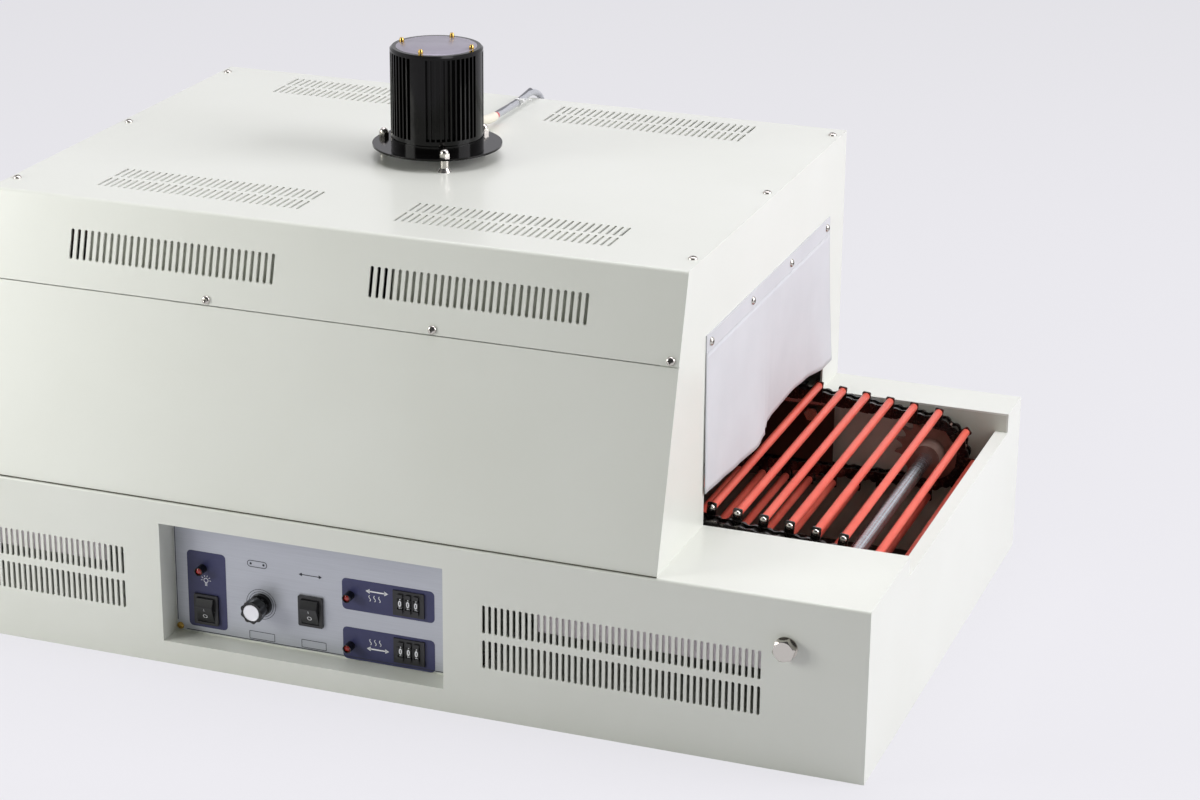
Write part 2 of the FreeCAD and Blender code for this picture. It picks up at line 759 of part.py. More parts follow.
def motor_standoffs():
    """Flared posts with a stud, and a domed nut on the flange above each."""
    pieces = []
    for index in range(standoff_count):
        place = standoff_place(index)
        neck = roof + standoff_flare
        profile = [(0, roof), (standoff_foot_radius, roof), (standoff_radius, neck),
                   (standoff_radius, roof + motor_gap), (0, roof + motor_gap)]
        stud = cylinder("z", place, stud_radius, roof - stud_below_roof, motor_seat + stud_above_flange)
        pieces.append(joined([turned(profile, place, "z"), stud]))
        corners = []
        for corner in range(6):
            turn = math.pi * corner / 3
            corners.append((place[0] + nut_corner_radius * math.cos(turn),
                            place[1] + nut_corner_radius * math.sin(turn)))
        shoulder = motor_seat + nut_height
        nut = prism(corners, "z", motor_seat, shoulder)
        ball = Part.makeSphere(nut_dome_radius, V(place[0], place[1], shoulder))
        dome = ball.cut(cylinder("z", place, nut_corner_radius, shoulder - 2 * nut_dome_radius, shoulder))
        bore = cylinder("z", place, stud_radius + running_fit, motor_seat - 1, motor_seat + stud_above_flange + 0.2)
        pieces.append(joined([nut, dome]).cut(bore))
    return pieces


def motor_housing():
    """Motor barrel: a foot with a ring groove, then cooling fins, with a plain land at each tie screw."""
    top = motor_top - motor_cap_height
    ring = motor_seat + motor_ring_level
    hollow = motor_seat + motor_shaft_grip + 1
    bore = fan_shaft_radius + running_fit
    ring_top = ring + motor_ring_height
    waist = motor_radius - motor_ring_depth
    outline = [(bore, motor_seat), (motor_radius, motor_seat), (motor_radius, ring), (waist, ring),
               (waist, ring_top), (motor_radius, ring_top), (motor_radius, top), (0, top), (0, hollow),
               (bore, hollow)]
    barrel = turned(outline, (0, motor_y), "z")
    first = -motor_groove_step * (motor_grooves_between - 1) / 2
    grooves = []
    for land in range(motor_lands):
        middle = motor_land_angle + 360.0 * (land + 0.5) / motor_lands
        for index in range(motor_grooves_between):
            groove = block((motor_radius - motor_groove_depth, motor_radius + 5),
                           (-motor_groove_width / 2, motor_groove_width / 2),
                           (motor_seat + motor_foot_height, top + 1))
            groove.rotate(V(0, 0, 0), V(0, 0, 1), middle + first + index * motor_groove_step)
            grooves.append(groove.translated(V(0, motor_y, 0)))
    return barrel.cut(Part.makeCompound(grooves))


def motor_cap():
    low = motor_top - motor_cap_height
    rim = motor_radius
    edge = motor_cap_height / 2
    return turned([(0, low), (rim, low), (rim, motor_top - edge), (rim - edge, motor_top), (0, motor_top)],
                  (0, motor_y), "z")


def fan_shaft():
    return cylinder("z", (0, motor_y), fan_shaft_radius, fan_level - 4, motor_seat + motor_shaft_grip)


def fan_impeller():
    """Paddle wheel: hub, back disc under the roof and straight blades."""
    hub = cylinder("z", (0, motor_y), 16, fan_level, fan_level + fan_height)
    disc = cylinder("z", (0, motor_y), fan_radius, fan_level + fan_height - 2, fan_level + fan_height)
    blades = []
    for index in range(fan_blades):
        blade = block((12, fan_radius - 2), (-1, 1), (fan_level, fan_level + fan_height - 1))
        blade.rotate(V(0, 0, 0), V(0, 0, 1), 360.0 * index / fan_blades)
        blades.append(blade.translated(V(0, motor_y, 0)))
    wheel = joined([hub, disc] + blades)
    bore = fan_shaft_radius + running_fit
    return wheel.cut(cylinder("z", (0, motor_y), bore, fan_level - 1, fan_level + fan_height + 1))


# Motor lead: out of the housing, over the back edge of the roof and into the back panel
lead_radius = 3.4
sleeve_radius = 4.8
sleeve_bends = 3
grommet_neck = 5.4
grommet_flange = 3.0
lead_x = 8.0
lead_entry = 372.0
lead_route = [
    (16, 88.5, 456), (17, 104, 455), (15, 126, 449.5), (12, 152, 443.6), (9, 184, 440.8), (8, 218, 439.4),
    (8, 250, 439.4), (8, 281, 442.2), (8, 307, 431), (8, 318, 408), (8, 314, 385), (8, 301, 372),
    (8, 278, 372),
]


def route_edges(points):
    """Straight runs joined by tangent arcs, in order: run, arc, run and so on."""
    edges = []
    start = V(*points[0])
    for index in range(1, len(points) - 1):
        before = V(*points[index - 1])
        corner = V(*points[index])
        after = V(*points[index + 1])
        inward = (before - corner).normalize()
        outward = (after - corner).normalize()
        turn = math.pi - inward.getAngle(outward)
        reach = 0.45 * min((before - corner).Length, (after - corner).Length)
        bend = reach / math.tan(turn / 2)
        entry = corner + inward * reach
        leave = corner + outward * reach
        bisector = (inward + outward).normalize()
        middle = corner + bisector * (math.hypot(reach, bend) - bend)
        edges.append(Part.LineSegment(start, entry).toShape())
        edges.append(Part.Arc(entry, middle, leave).toShape())
        start = leave
    edges.append(Part.LineSegment(start, V(*points[-1])).toShape())
    return edges


def tube(edges, radius):
    """Round bar along the first edges of a route."""
    path = Part.Wire(edges)
    start = edges[0].Vertexes[0].Point
    section = Part.Wire(Part.makeCircle(radius, start, edges[0].Vertexes[-1].Point - start))
    return path.makePipeShell([section], True, True)


lead_edges = route_edges(lead_route)
sleeve_edges = lead_edges[:2 * sleeve_bends + 1]


def lead_grommet():
    """Bushing that grips the edge of the hole in the back panel."""
    bore = lead_radius + 0.2
    flange = grommet_neck + grommet_flange
    inside = back_y - hood_sheet
    profile = [(bore, inside - grommet_flange), (flange, inside - grommet_flange), (flange, inside),
               (grommet_neck, inside), (grommet_neck, back_y), (flange, back_y),
               (flange - 1, back_y + grommet_flange), (bore, back_y + grommet_flange)]
    return turned(profile, (lead_x, lead_entry), "y")


# Curtains
def curtain():
    """Hanging flap outside the end plate, below the clamp."""
    near = hood_end + curtain_gap
    half = curtain_width / 2
    return block((near, near + curtain_thickness), (bay_middle - half, bay_middle + half),
                 (deck_height + curtain_bottom, deck_height + curtain_hinge - clearance))


def curtain_clamp():
    """Top band of the curtain, flat on the end plate."""
    return block((hood_end, hood_end + curtain_thickness),
                 (bay_middle - curtain_width / 2, bay_middle + curtain_width / 2),
                 (deck_height + curtain_hinge, deck_height + curtain_top))


# Conveyor
def tangent_angle():
    """Slope of the chain between the level run and the sprocket, in radians."""
    run = shaft_x - ramp_start
    drop = run_height - shaft_height
    reach = math.hypot(run, drop)
    return math.atan2(drop, run) - math.asin(pitch_radius / reach)


slope = tangent_angle()
touch_x = shaft_x + pitch_radius * math.sin(slope)
touch_z = shaft_height + pitch_radius * math.cos(slope)
ramp_length = math.hypot(touch_x - ramp_start, run_height - touch_z)
wrap_length = wrap_radius * (math.pi - slope)
loop_length = 2 * (ramp_start + ramp_length + wrap_length + shaft_x)
rod_count = round(loop_length / rod_pitch)
rod_spacing = loop_length / rod_count
lower_level = shaft_height - pitch_radius


def station(distance):
    """Stretch, place, outward angle and radius at a distance along the loop from the exit touch point.

    What comes within the hand-over length of a wrap's end already belongs to the run after it.
    """
    distance = distance % loop_length
    if distance < wrap_length - hand_over:
        return "exit", shaft_x, shaft_height, math.pi / 2 - slope - distance / wrap_radius, pitch_radius
    distance -= wrap_length
    if distance < 2 * shaft_x:
        return "lower", shaft_x - distance, lower_level, -math.pi / 2, 0
    distance -= 2 * shaft_x
    if distance < wrap_length - hand_over:
        return "entry", -shaft_x, shaft_height, -math.pi / 2 - distance / wrap_radius, pitch_radius
    distance -= wrap_length
    if distance < ramp_length:
        x = -touch_x + distance * math.cos(slope)
        return "upper", x, touch_z + distance * math.sin(slope), math.pi / 2 + slope, 0
    distance -= ramp_length
    if distance < 2 * ramp_start:
        return "upper", distance - ramp_start, run_height, math.pi / 2, 0
    distance -= 2 * ramp_start
    x = ramp_start + distance * math.cos(slope)
    return "upper", x, run_height - distance * math.sin(slope), math.pi / 2 - slope, 0


stretches = ("upper", "lower", "exit", "entry")
rod_stations = [station(rod_phase + index * rod_spacing) for index in range(rod_count)]
roller_stations = [station(rod_phase + (index + 0.5) * rod_spacing / 2) for index in range(2 * rod_count)]


def on_stretch(stations, stretch):
    return [place for place in stations if place[0] == stretch]


def raised(place, height):
    """Point at a height above the pitch line, square to the chain."""
    stretch, x, z, turn, radius = place
    return (x + (radius + height) * math.cos(turn), z + (radius + height) * math.sin(turn))


def rods(stretch):
    """Coated rods between the tabs of the two chains."""
    start = chain_y[0] + chain_half_width + chain_plate + rod_end_gap
    end = chain_y[1] - chain_half_width - chain_plate - rod_end_gap
    return [cylinder("y", raised(place, rod_standoff), rod_radius, start, end)
            for place in on_stretch(rod_stations, stretch)]


def tabs(stretch):
    """Upright tabs on the inner side of each chain, each with the head of the pin that carries its rod."""
    pieces = []
    low = -chain_plate_height / 2
    high = rod_standoff + tab_above_rod
    for place in on_stretch(rod_stations, stretch):
        turn = place[3]
        outline = []
        for along, height in ((-1, low), (1, low), (1, high), (-1, high)):
            x, z = raised(place, height)
            shift = along * tab_width / 2
            outline.append((x - shift * math.sin(turn), z + shift * math.cos(turn)))
        for centre, side in ((chain_y[0], 1), (chain_y[1], -1)):
            face = centre + side * chain_half_width
            limits = sorted((face, face + side * chain_plate))
            plate = prism(outline, "y", limits[0], limits[1])
            limits = sorted((face - side * pin_head, face + side * chain_plate / 2))
            pin = cylinder("y", raised(place, rod_standoff), pin_radius, limits[0], limits[1])
            pieces.append(joined([plate, pin]))
    return pieces


def rollers(places):
    """Chain rollers of both chains at some of the stations."""
    pieces = []
    for centre in chain_y:
        start = centre - chain_inner_width / 2
        for place in places:
            pieces.append(cylinder("y", raised(place, 0), roller_radius, start, start + chain_inner_width))
    return pieces


def band(path, half_height, start, end):
    """Strip of even height about a path of (x, z, direction) points, between two Y places."""
    upper = [(x - half_height * math.sin(way), z + half_height * math.cos(way)) for x, z, way in path]
    back = reversed(path)
    lower = [(x + half_height * math.sin(way), z - half_height * math.cos(way)) for x, z, way in back]
    return prism(upper + lower, "y", start, end)


def strand(path, core):
    """Both chains of a straight run: plate rows along the path, joined by a core of rollers."""
    pieces = []
    inner = chain_inner_width / 2
    tall = chain_plate_height / 2
    for centre in chain_y:
        rows = [band(path, tall, centre - chain_half_width, centre - inner),
                band(path, tall, centre + inner, centre + chain_half_width),
                band(core, roller_radius, centre - inner, centre + inner)]
        pieces.append(joined(rows))
    return pieces


open_length = (open_pitches + 0.5) * rod_spacing / 2


def upper_strand():
    def ramp_point(side, back):
        x = side * (touch_x - back * math.cos(slope))
        return (x, touch_z + back * math.sin(slope), -side * slope)

    middle = [(-ramp_start, run_height, slope / 2), (ramp_start, run_height, -slope / 2)]
    path = [ramp_point(-1, chain_break / 2)] + middle + [ramp_point(1, chain_break / 2)]
    core = [ramp_point(-1, open_length)] + middle + [ramp_point(1, open_length)]
    return strand(path, core)


def lower_strand():
    reach = shaft_x - chain_break / 2
    short = shaft_x - open_length
    path = [(-reach, lower_level, 0), (reach, lower_level, 0)]
    core = [(-short, lower_level, 0), (short, lower_level, 0)]
    return strand(path, core)


def loose_rollers(stretch):
    """Rollers between a run's core and the sprockets, where the teeth need the room between them."""
    limit = {"upper": touch_x - open_length * math.cos(slope), "lower": shaft_x - open_length}[stretch]
    places = on_stretch(roller_stations, stretch)
    return rollers([place for place in places if abs(place[1]) > limit + roller_radius])


def wrap_rows(side):
    """Plate rows of both chains round the sprockets of one end."""
    gap = chain_break / 2 / wrap_radius
    first = gap - math.pi / 2
    sweep = math.pi - slope - 2 * gap
    outer = pitch_radius + chain_plate_height / 2
    inner = pitch_radius - chain_plate_height / 2

    def at(radius, turn):
        return V(side * (shaft_x + radius * math.cos(turn)), 0, shaft_height + radius * math.sin(turn))

    half = first + sweep / 2
    last = first + sweep
    edges = [Part.Arc(at(outer, first), at(outer, half), at(outer, last)).toShape(),
             Part.makeLine(at(outer, last), at(inner, last)),
             Part.Arc(at(inner, last), at(inner, half), at(inner, first)).toShape(),
             Part.makeLine(at(inner, first), at(outer, first))]
    face = Part.Face(Part.Wire(edges))
    width = chain_half_width - chain_inner_width / 2
    rows = []
    for centre in chain_y:
        for start in (centre - chain_half_width, centre + chain_inner_width / 2):
            rows.append(face.translated(V(0, start, 0)).extrude(V(0, width, 0)))
    return rows


def tooth_gap_angle(stretch):
    """Angle of the roller in the middle of the wrap, which sits centred in its tooth gap."""
    turns = [place[3] for place in on_stretch(roller_stations, stretch)]
    return turns[len(turns) // 2]


def sprocket(x, centre, side, gap_angle):
    """Chain wheel with round tooth gaps and a hub on its inner side."""
    seat = roller_radius + sprocket_seat_gap
    tip = chain_pitch * (0.6 + 1 / math.tan(math.pi / sprocket_teeth)) / 2
    land = tooth_tip_land / tip / 2
    flank = math.radians(115)
    step = 2 * math.pi / sprocket_teeth

    def at(radius, turn):
        return V(x + radius * math.cos(turn), 0, shaft_height + radius * math.sin(turn))

    edges = []
    for index in range(sprocket_teeth):
        turn = gap_angle + index * step
        middle = at(pitch_radius, turn)
        corners = [middle + V(seat * math.cos(turn + lean), 0, seat * math.sin(turn + lean))
                   for lean in (-flank, math.pi, flank)]
        tooth = turn + step / 2
        following = at(pitch_radius, turn + step) + V(seat * math.cos(turn + step - flank), 0,
                                                      seat * math.sin(turn + step - flank))
        edges.append(Part.Arc(corners[0], corners[1], corners[2]).toShape())
        edges.append(Part.makeLine(corners[2], at(tip, tooth - land)))
        edges.append(Part.makeLine(at(tip, tooth - land), at(tip, tooth + land)))
        edges.append(Part.makeLine(at(tip, tooth + land), following))
    rim = Part.Face(Part.Wire(edges)).extrude(V(0, sprocket_thickness, 0))
    rim = rim.translated(V(0, centre - sprocket_thickness / 2, 0))
    hub_end = centre + side * (sprocket_thickness / 2 + sprocket_hub_length)
    hub = cylinder("y", (x, shaft_height), sprocket_hub_radius, min(centre, hub_end), max(centre, hub_end))
    bore = cylinder("y", (x, shaft_height), shaft_radius + running_fit,
                    min(centre, hub_end) - sprocket_thickness, max(centre, hub_end) + sprocket_thickness)
    return joined([rim, hub]).cut(bore)


def sprocket_pair(x, stretch):
    gap_angle = tooth_gap_angle(stretch)
    return [sprocket(x, chain_y[0], 1, gap_angle), sprocket(x, chain_y[1], -1, gap_angle)]


def chain_rails():
    """Slide rails under both runs of both chains, with feet on the bay walls and ends that slope down."""
    rails = []
    flat = ramp_start - rod_spacing
    for level in (run_height, lower_level):
        top = level - roller_radius - rail_clearance
        low = top - rail_height
        for centre, wall in ((chain_y[0], bay_front), (chain_y[1], bay_back)):
            near = centre - rail_width / 2
            far = centre + rail_width / 2
            bar = block((-rail_end, rail_end), (near, far), (low, top))
            foot = block((-rail_end, rail_end), (min(near, wall), max(far, wall)), (low, low + rail_foot))
            wedges = []
            for turn in (-1, 1):
                tip = top - rail_nose_drop
                beyond = turn * (rail_end + 1)
                corners = [(turn * flat, top), (turn * rail_end, tip), (beyond, tip), (beyond, top + 1),
                           (turn * flat, top + 1)]
                wedges.append(prism(corners, "y", near - 1, far + 1))
            rails.append(joined([bar, foot]).cut(Part.makeCompound(wedges)))
    return rails


def side_plates():
    """Plates on the inner faces of the upper rails, with a bolt near both ends and holes for the heaters."""
    end = hood_end + side_plate_overhang
    bolt_x = hood_end - side_bolt_inset
    pieces = []
    for centre, side in ((chain_y[0], 1), (chain_y[1], -1)):
        face = centre + side * rail_width / 2
        inner = face + side * side_plate_thickness
        head = inner + side * side_bolt_height
        plate = block((-end, end), (min(face, inner), max(face, inner)), (side_plate_foot, side_plate_top))
        holes = []
        for x in heater_places(lower_heater_count):
            place = (x, lower_heater_level)
            holes.append(cylinder("y", place, heater_radius + clearance, min(face, inner) - 1, max(face, inner) + 1))
        plate = plate.cut(Part.makeCompound(holes))
        bolts = []
        for x in (-bolt_x, bolt_x):
            corners = []
            for index in range(6):
                turn = math.pi * index / 3
                reach = side_bolt_width / math.sqrt(3)
                corners.append((x + reach * math.cos(turn), side_bolt_level + reach * math.sin(turn)))
            bolts.append(prism(corners, "y", min(inner, head), max(inner, head)))
        pieces.append(joined([plate] + bolts))
    return pieces


def exit_axle():
    """Fixed axle between the base panels, bored at both ends for its bolts."""
    near = front_y + base_sheet
    far = back_y - base_sheet
    depth = bolt_depth + 0.5
    axle = cylinder("y", (shaft_x, shaft_height), shaft_radius, near, far)
    bores = [cylinder("y", (shaft_x, shaft_height), bolt_radius + running_fit, start, end)
             for start, end in ((near - 1, near + depth), (far - depth, far + 1))]
    return axle.cut(Part.makeCompound(bores))


gearbox_y = (bay_front - gearbox_setback - gearbox_width, bay_front - gearbox_setback)


def entry_shaft():
    start = gearbox_y[0] + 4
    end = bay_back + base_sheet + bearing_length + 4
    return cylinder("y", (-shaft_x, shaft_height), shaft_radius, start, end)


def entry_bearings():
    """Flange bearings on the outer faces of the bay walls."""
    rings = []
    front = bay_front - base_sheet
    back = bay_back + base_sheet
    for near, far in ((front - bearing_length, front), (back, back + bearing_length)):
        body = cylinder("y", (-shaft_x, shaft_height), bearing_radius, near, far)
        bore = cylinder("y", (-shaft_x, shaft_height), shaft_radius + running_fit, near - 1, far + 1)
        rings.append(body.cut(bore))
    return rings


def drive_gearmotor():
    """Gearmotor in the front compartment, hollow on the entry shaft, with a foot on the bottom pan."""
    x = -shaft_x
    near, far = gearbox_y
    half = gearbox_half
    end = x + half + drive_motor_length
    middle = ((near + far) / 2, shaft_height)
    box = block((x - half, x + half), (near, far), (shaft_height - half, shaft_height + half))
    box = rounded(box, gearbox_corner,
                  lambda m: abs(abs(m.x - x) - half) < 0.1 and abs(abs(m.z - shaft_height) - half) < 0.1)
    barrel = cylinder("x", middle, drive_motor_radius, x + half - 1, end)
    fan_cover = cylinder("x", middle, drive_motor_radius + drive_cover_step, end - drive_cover_length, end)
    foot = block((x - gearbox_foot_half, x + gearbox_foot_half),
                 (near + gearbox_foot_inset, far - gearbox_foot_inset), (base_sheet, shaft_height - half + 1))
    bore = cylinder("y", (x, shaft_height), shaft_radius + running_fit, near - 1, far + 1)
    return joined([box, barrel, fan_cover, foot]).cut(bore)


# Writing the nodes
save("base_front_panel", base_front_panel())
save("base_back_panel", base_back_panel())
save("base_end_right", base_end_panel())
save("base_end_left", mirrored(base_end_panel()))
save("base_bottom_pan", base_bottom_pan())
save("bay_walls", bay_walls())
save("axle_bolts", axle_bolts())
save("control_recess", control_recess())
save("control_plate", control_plate())
save("brass_screws", brass_screws())
save("switch_frames", [switch_frame(power_switch), switch_frame(heater_switch)])
save("power_rocker", rocker(power_switch))
save("heater_rocker", rocker(heater_switch))
save("speed_knob", speed_knob())
save("speed_potentiometer", speed_potentiometer())
save("lamps", lamps())
save("setter_housings", [setter_housing(centre) for centre in setter_centres])
for row, centre in zip(("upper", "lower"), setter_centres):
    for number, x in enumerate(wheel_places(centre)):
        save(row + "_setter_wheel_" + str(number + 1), setter_wheel(x, centre[1]))
save("hood_top_cover", hood_top_cover())
save("hood_lower_front", hood_lower_front())
save("hood_back_panel", hood_back_panel())
save("hood_end_right", hood_end_plate())
save("hood_end_left", mirrored(hood_end_plate()))
save("cover_screws", cover_screws())
save("chamber_liner", chamber_liner())
save("upper_heaters", heaters(heater_places(upper_heater_count), upper_heater_level, liner_sheet))
save("lower_heaters", heaters(heater_places(lower_heater_count), lower_heater_level, base_sheet))
save("motor_flange", motor_flange())
save("motor_standoffs", motor_standoffs())
save("motor_housing", motor_housing())
save("motor_cap", motor_cap())
save("fan_shaft", fan_shaft())
save("fan_impeller", fan_impeller())
save("motor_lead", tube(lead_edges, lead_radius))
save("lead_sleeve", tube(sleeve_edges, sleeve_radius).cut(tube(sleeve_edges, lead_radius + running_fit)))
save("lead_grommet", lead_grommet())
save("curtain_right", curtain())
save("curtain_left", mirrored(curtain()))
save("curtain_clamps", [curtain_clamp(), mirrored(curtain_clamp())])
save("chain_rails", chain_rails())
save("side_plates", side_plates())
save("exit_axle", exit_axle())
save("exit_sprockets", sprocket_pair(shaft_x, "exit"))
save("entry_shaft", entry_shaft())
save("entry_sprockets", sprocket_pair(-shaft_x, "entry"))
save("entry_bearings", entry_bearings())
save("drive_gearmotor", drive_gearmotor())
save("upper_chain", upper_strand() + loose_rollers("upper") + tabs("upper"))
save("lower_chain", lower_strand() + loose_rollers("lower") + tabs("lower"))
save("exit_chain", wrap_rows(1) + rollers(on_stretch(roller_stations, "exit")) + tabs("exit"))
save("entry_chain", wrap_rows(-1) + rollers(on_stretch(roller_stations, "entry")) + tabs("entry"))
for stretch in stretches:
    save(stretch + "_rods", rods(stretch))
print("rods", rod_count, "spacing", round(rod_spacing, 3), "slope", round(math.degrees(slope), 2))
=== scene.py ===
import math

import bmesh
import bpy
from mathutils import Matrix, Vector


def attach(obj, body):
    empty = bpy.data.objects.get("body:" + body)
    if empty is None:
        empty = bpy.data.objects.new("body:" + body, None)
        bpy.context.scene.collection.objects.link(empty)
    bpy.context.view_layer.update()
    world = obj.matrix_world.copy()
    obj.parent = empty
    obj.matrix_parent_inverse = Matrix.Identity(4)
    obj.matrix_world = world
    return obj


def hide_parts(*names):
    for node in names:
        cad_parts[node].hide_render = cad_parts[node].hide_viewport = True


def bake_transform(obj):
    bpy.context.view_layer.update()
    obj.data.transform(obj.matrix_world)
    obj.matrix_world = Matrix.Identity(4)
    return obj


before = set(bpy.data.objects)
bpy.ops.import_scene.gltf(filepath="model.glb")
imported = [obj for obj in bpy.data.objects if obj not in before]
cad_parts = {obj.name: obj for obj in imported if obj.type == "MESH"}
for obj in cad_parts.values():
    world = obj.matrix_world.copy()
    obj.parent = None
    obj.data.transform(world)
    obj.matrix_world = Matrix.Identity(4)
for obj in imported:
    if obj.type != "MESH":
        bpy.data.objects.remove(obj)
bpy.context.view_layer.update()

# Sizes of the solids that the new pieces sit on, in millimetres as in the part's source
front_y = -290.0
deck_height = 168.0
bay_front = -158.0
bay_back = 232.0
bay_middle = (bay_front + bay_back) / 2
plate_front = -263.5
hood_end = 352.0
hood_foot_y = front_y + 2.0
hood_setback = 74.0
roof = 432.0
hood_lean = math.atan2(hood_setback, roof - deck_height)

chain_pitch = 12.7
sprocket_teeth = 17
chain_inner_width = 7.9
chain_plate = 1.5
chain_plate_height = 11.8
roller_radius = 3.96
chain_y = (-147.0, 221.0)
chain_half_width = chain_inner_width / 2 + 2 * chain_plate
shaft_x = 474.0
shaft_height = 121.0
run_height = 167.6
ramp_start = 345.0
hand_over = 2.0
rod_radius = 4.0
rod_standoff = 12.4
rod_phase = 2.6
rod_end_gap = 0.2
tab_width = 9.0
tab_above_rod = 4.8

motor_y = 46.0
motor_radius = 46.0
motor_top = 543.5

power_switch = (-111.5, 50.5)
heater_switch = (-1.0, 66.5)
rocker_axis_y = plate_front - 1.5
knob_centre = (-53.5, 65.0)
knob_length = 20.0
lamp_centres = ((-114.5, 92.5), (40.0, 90.0), (39.5, 38.0))
lamp_length = 9.0
wheel_x = (91.9, 100.0, 108.1)
wheel_levels = {"upper": 90.5, "lower": 41.5}
wheel_radius = 10.5
wheel_width = 6.0
wheel_y = plate_front + 7.5

curtain_width = 398.0
curtain_low = 201.0
curtain_hinge = 337.2
curtain_x = 353.0


def shown(name, data):
    """A new object of the scene."""
    made = bpy.data.objects.new(name, data)
    bpy.context.scene.collection.objects.link(made)
    return made


# Helpers for shapes; they work in millimetres
def slab(shape, x, y, z):
    """Adds a box between three pairs of limits."""
    sizes = [limits[1] - limits[0] for limits in (x, y, z)]
    middle = [(limits[1] + limits[0]) / 2 for limits in (x, y, z)]
    place = Matrix.Translation(middle) @ Matrix.Diagonal((*sizes, 1))
    return bmesh.ops.create_cube(shape, size=1, matrix=place)["verts"]


def bar(shape, start, end, radius, sides=24):
    """Adds a round bar."""
    way = Vector(end) - Vector(start)
    turn = way.to_track_quat("Z", "Y").to_matrix().to_4x4()
    middle = Matrix.Translation((Vector(start) + Vector(end)) / 2)
    bmesh.ops.create_cone(shape, cap_ends=True, segments=sides, radius1=radius, radius2=radius,
                          depth=way.length, matrix=middle @ turn)


def spun(profile, steps=48):
    """A shape turned about Z from (radius, height) points."""
    shape = bmesh.new()
    corners = [shape.verts.new((radius, 0, height)) for radius, height in profile]
    edges = [shape.edges.new(pair) for pair in zip(corners, corners[1:])]
    bmesh.ops.spin(shape, geom=corners + edges, cent=(0, 0, 0), axis=(0, 0, 1), angle=2 * math.pi,
                   steps=steps, use_merge=True)
    bmesh.ops.remove_doubles(shape, verts=shape.verts, dist=0.001)
    return shape


def thickened(shape, faces, travel):
    """Pulls flat faces into a solid plate."""
    made = bmesh.ops.extrude_face_region(shape, geom=faces, use_keep_orig=True)["geom"]
    corners = [part for part in made if isinstance(part, bmesh.types.BMVert)]
    bmesh.ops.translate(shape, vec=travel, verts=corners)


def rounded(shape, parts, size, segments, affect="VERTICES"):
    """Rounds corners of a flat shape, or edges of a solid."""
    bmesh.ops.bevel(shape, geom=parts, offset=size, offset_type="OFFSET", segments=segments, profile=0.5,
                    affect=affect, material=-1)


def rectangle(width, height, turn=Matrix()):
    """A flat rectangle about its own middle, and its corners."""
    patch = bmesh.new()
    made = bmesh.ops.create_grid(patch, x_segments=1, y_segments=1, size=0.5,
                                 matrix=turn @ Matrix.Diagonal((width, height, 1, 1)))
    return patch, made["verts"]


def pattern(shape):
    """A mesh that is copied to many places."""
    bmesh.ops.recalc_face_normals(shape, faces=shape.faces)
    mesh = bpy.data.meshes.new("pattern")
    shape.to_mesh(mesh)
    shape.free()
    return mesh


def placed(shape, mesh, place):
    """Adds a copy of a pattern to a shape."""
    copy = mesh.copy()
    copy.transform(place)
    shape.from_mesh(copy)
    bpy.data.meshes.remove(copy)


def facing(point, out, up=(0, 0, 1)):
    """Place for a pattern that is drawn lying down: its Z axis points out and its Y axis up."""
    ahead = Vector(out).normalized()
    across = Vector(up).cross(ahead).normalized()
    turn = Matrix((across, ahead.cross(across), ahead)).transposed().to_4x4()
    return Matrix.Translation(point) @ turn


def piece(shape, name, material, body="machine", stands_for=(), smooth=35):
    """Turns a shape in millimetres into a finished piece that rides on a body."""
    bmesh.ops.recalc_face_normals(shape, faces=shape.faces)
    bmesh.ops.scale(shape, vec=(0.001, 0.001, 0.001), verts=shape.verts)
    mesh = bpy.data.meshes.new(name)
    shape.to_mesh(mesh)
    shape.free()
    mesh.materials.append(material)
    mesh.polygons.foreach_set("use_smooth", [True] * len(mesh.polygons))
    mesh.set_sharp_from_angle(angle=math.radians(smooth))
    made = shown(name, mesh)
    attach(made, body)
    if stands_for:
        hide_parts(*stands_for)


# Helpers for materials
def linear(code):
    """An sRGB hex colour as linear light."""
    parts = [int(code[place:place + 2], 16) / 255 for place in (1, 3, 5)]
    return (*[part / 12.92 if part <= 0.04045 else ((part + 0.055) / 1.055) ** 2.4 for part in parts], 1)


def per_mm(size):
    """Texture scale at which one cell is this many millimetres."""
    return 1000 / size


def add(tree, kind, inputs=None, **settings):
    """Adds a node with its settings, and its inputs as values or links."""
    node = tree.nodes.new(kind)
    for name, value in settings.items():
        setattr(node, name, value)
    for name, value in (inputs or {}).items():
        if isinstance(value, bpy.types.NodeSocket):
            tree.links.new(value, node.inputs[name])
        else:
            node.inputs[name].default_value = value
    return node


def blank(name):
    """An empty node material and its tree."""
    material = bpy.data.materials.new(name)
    material.use_nodes = True
    material.node_tree.nodes.clear()
    return material, material.node_tree


def patterned(name):
    """An empty node material, its tree and the Object coordinates that its patterns read."""
    material, tree = blank(name)
    return material, tree, add(tree, "ShaderNodeTexCoord").outputs["Object"]


def clouded(name, low, high, cell, detail, gloss, sockets):
    """A finish whose colour wanders with one soft noise, and its gloss too where that is a pair."""
    material, tree, place = patterned(name)
    cloud = add(tree, "ShaderNodeTexNoise", {"Vector": place, "Scale": per_mm(cell), "Detail": detail})
    tint = add(tree, "ShaderNodeMix", {
        "Factor": cloud.outputs["Fac"], "A": linear(low), "B": linear(high)}, data_type="RGBA")
    if isinstance(gloss, tuple):
        haze = add(tree, "ShaderNodeMapRange", {
            "Value": cloud.outputs["Fac"], "To Min": gloss[0], "To Max": gloss[1]})
        gloss = haze.outputs["Result"]
    skin = add(tree, "ShaderNodeBsdfPrincipled", {
        "Base Color": tint.outputs["Result"], "Roughness": gloss, **sockets})
    add(tree, "ShaderNodeOutputMaterial", {"Surface": skin.outputs["BSDF"]})
    return material


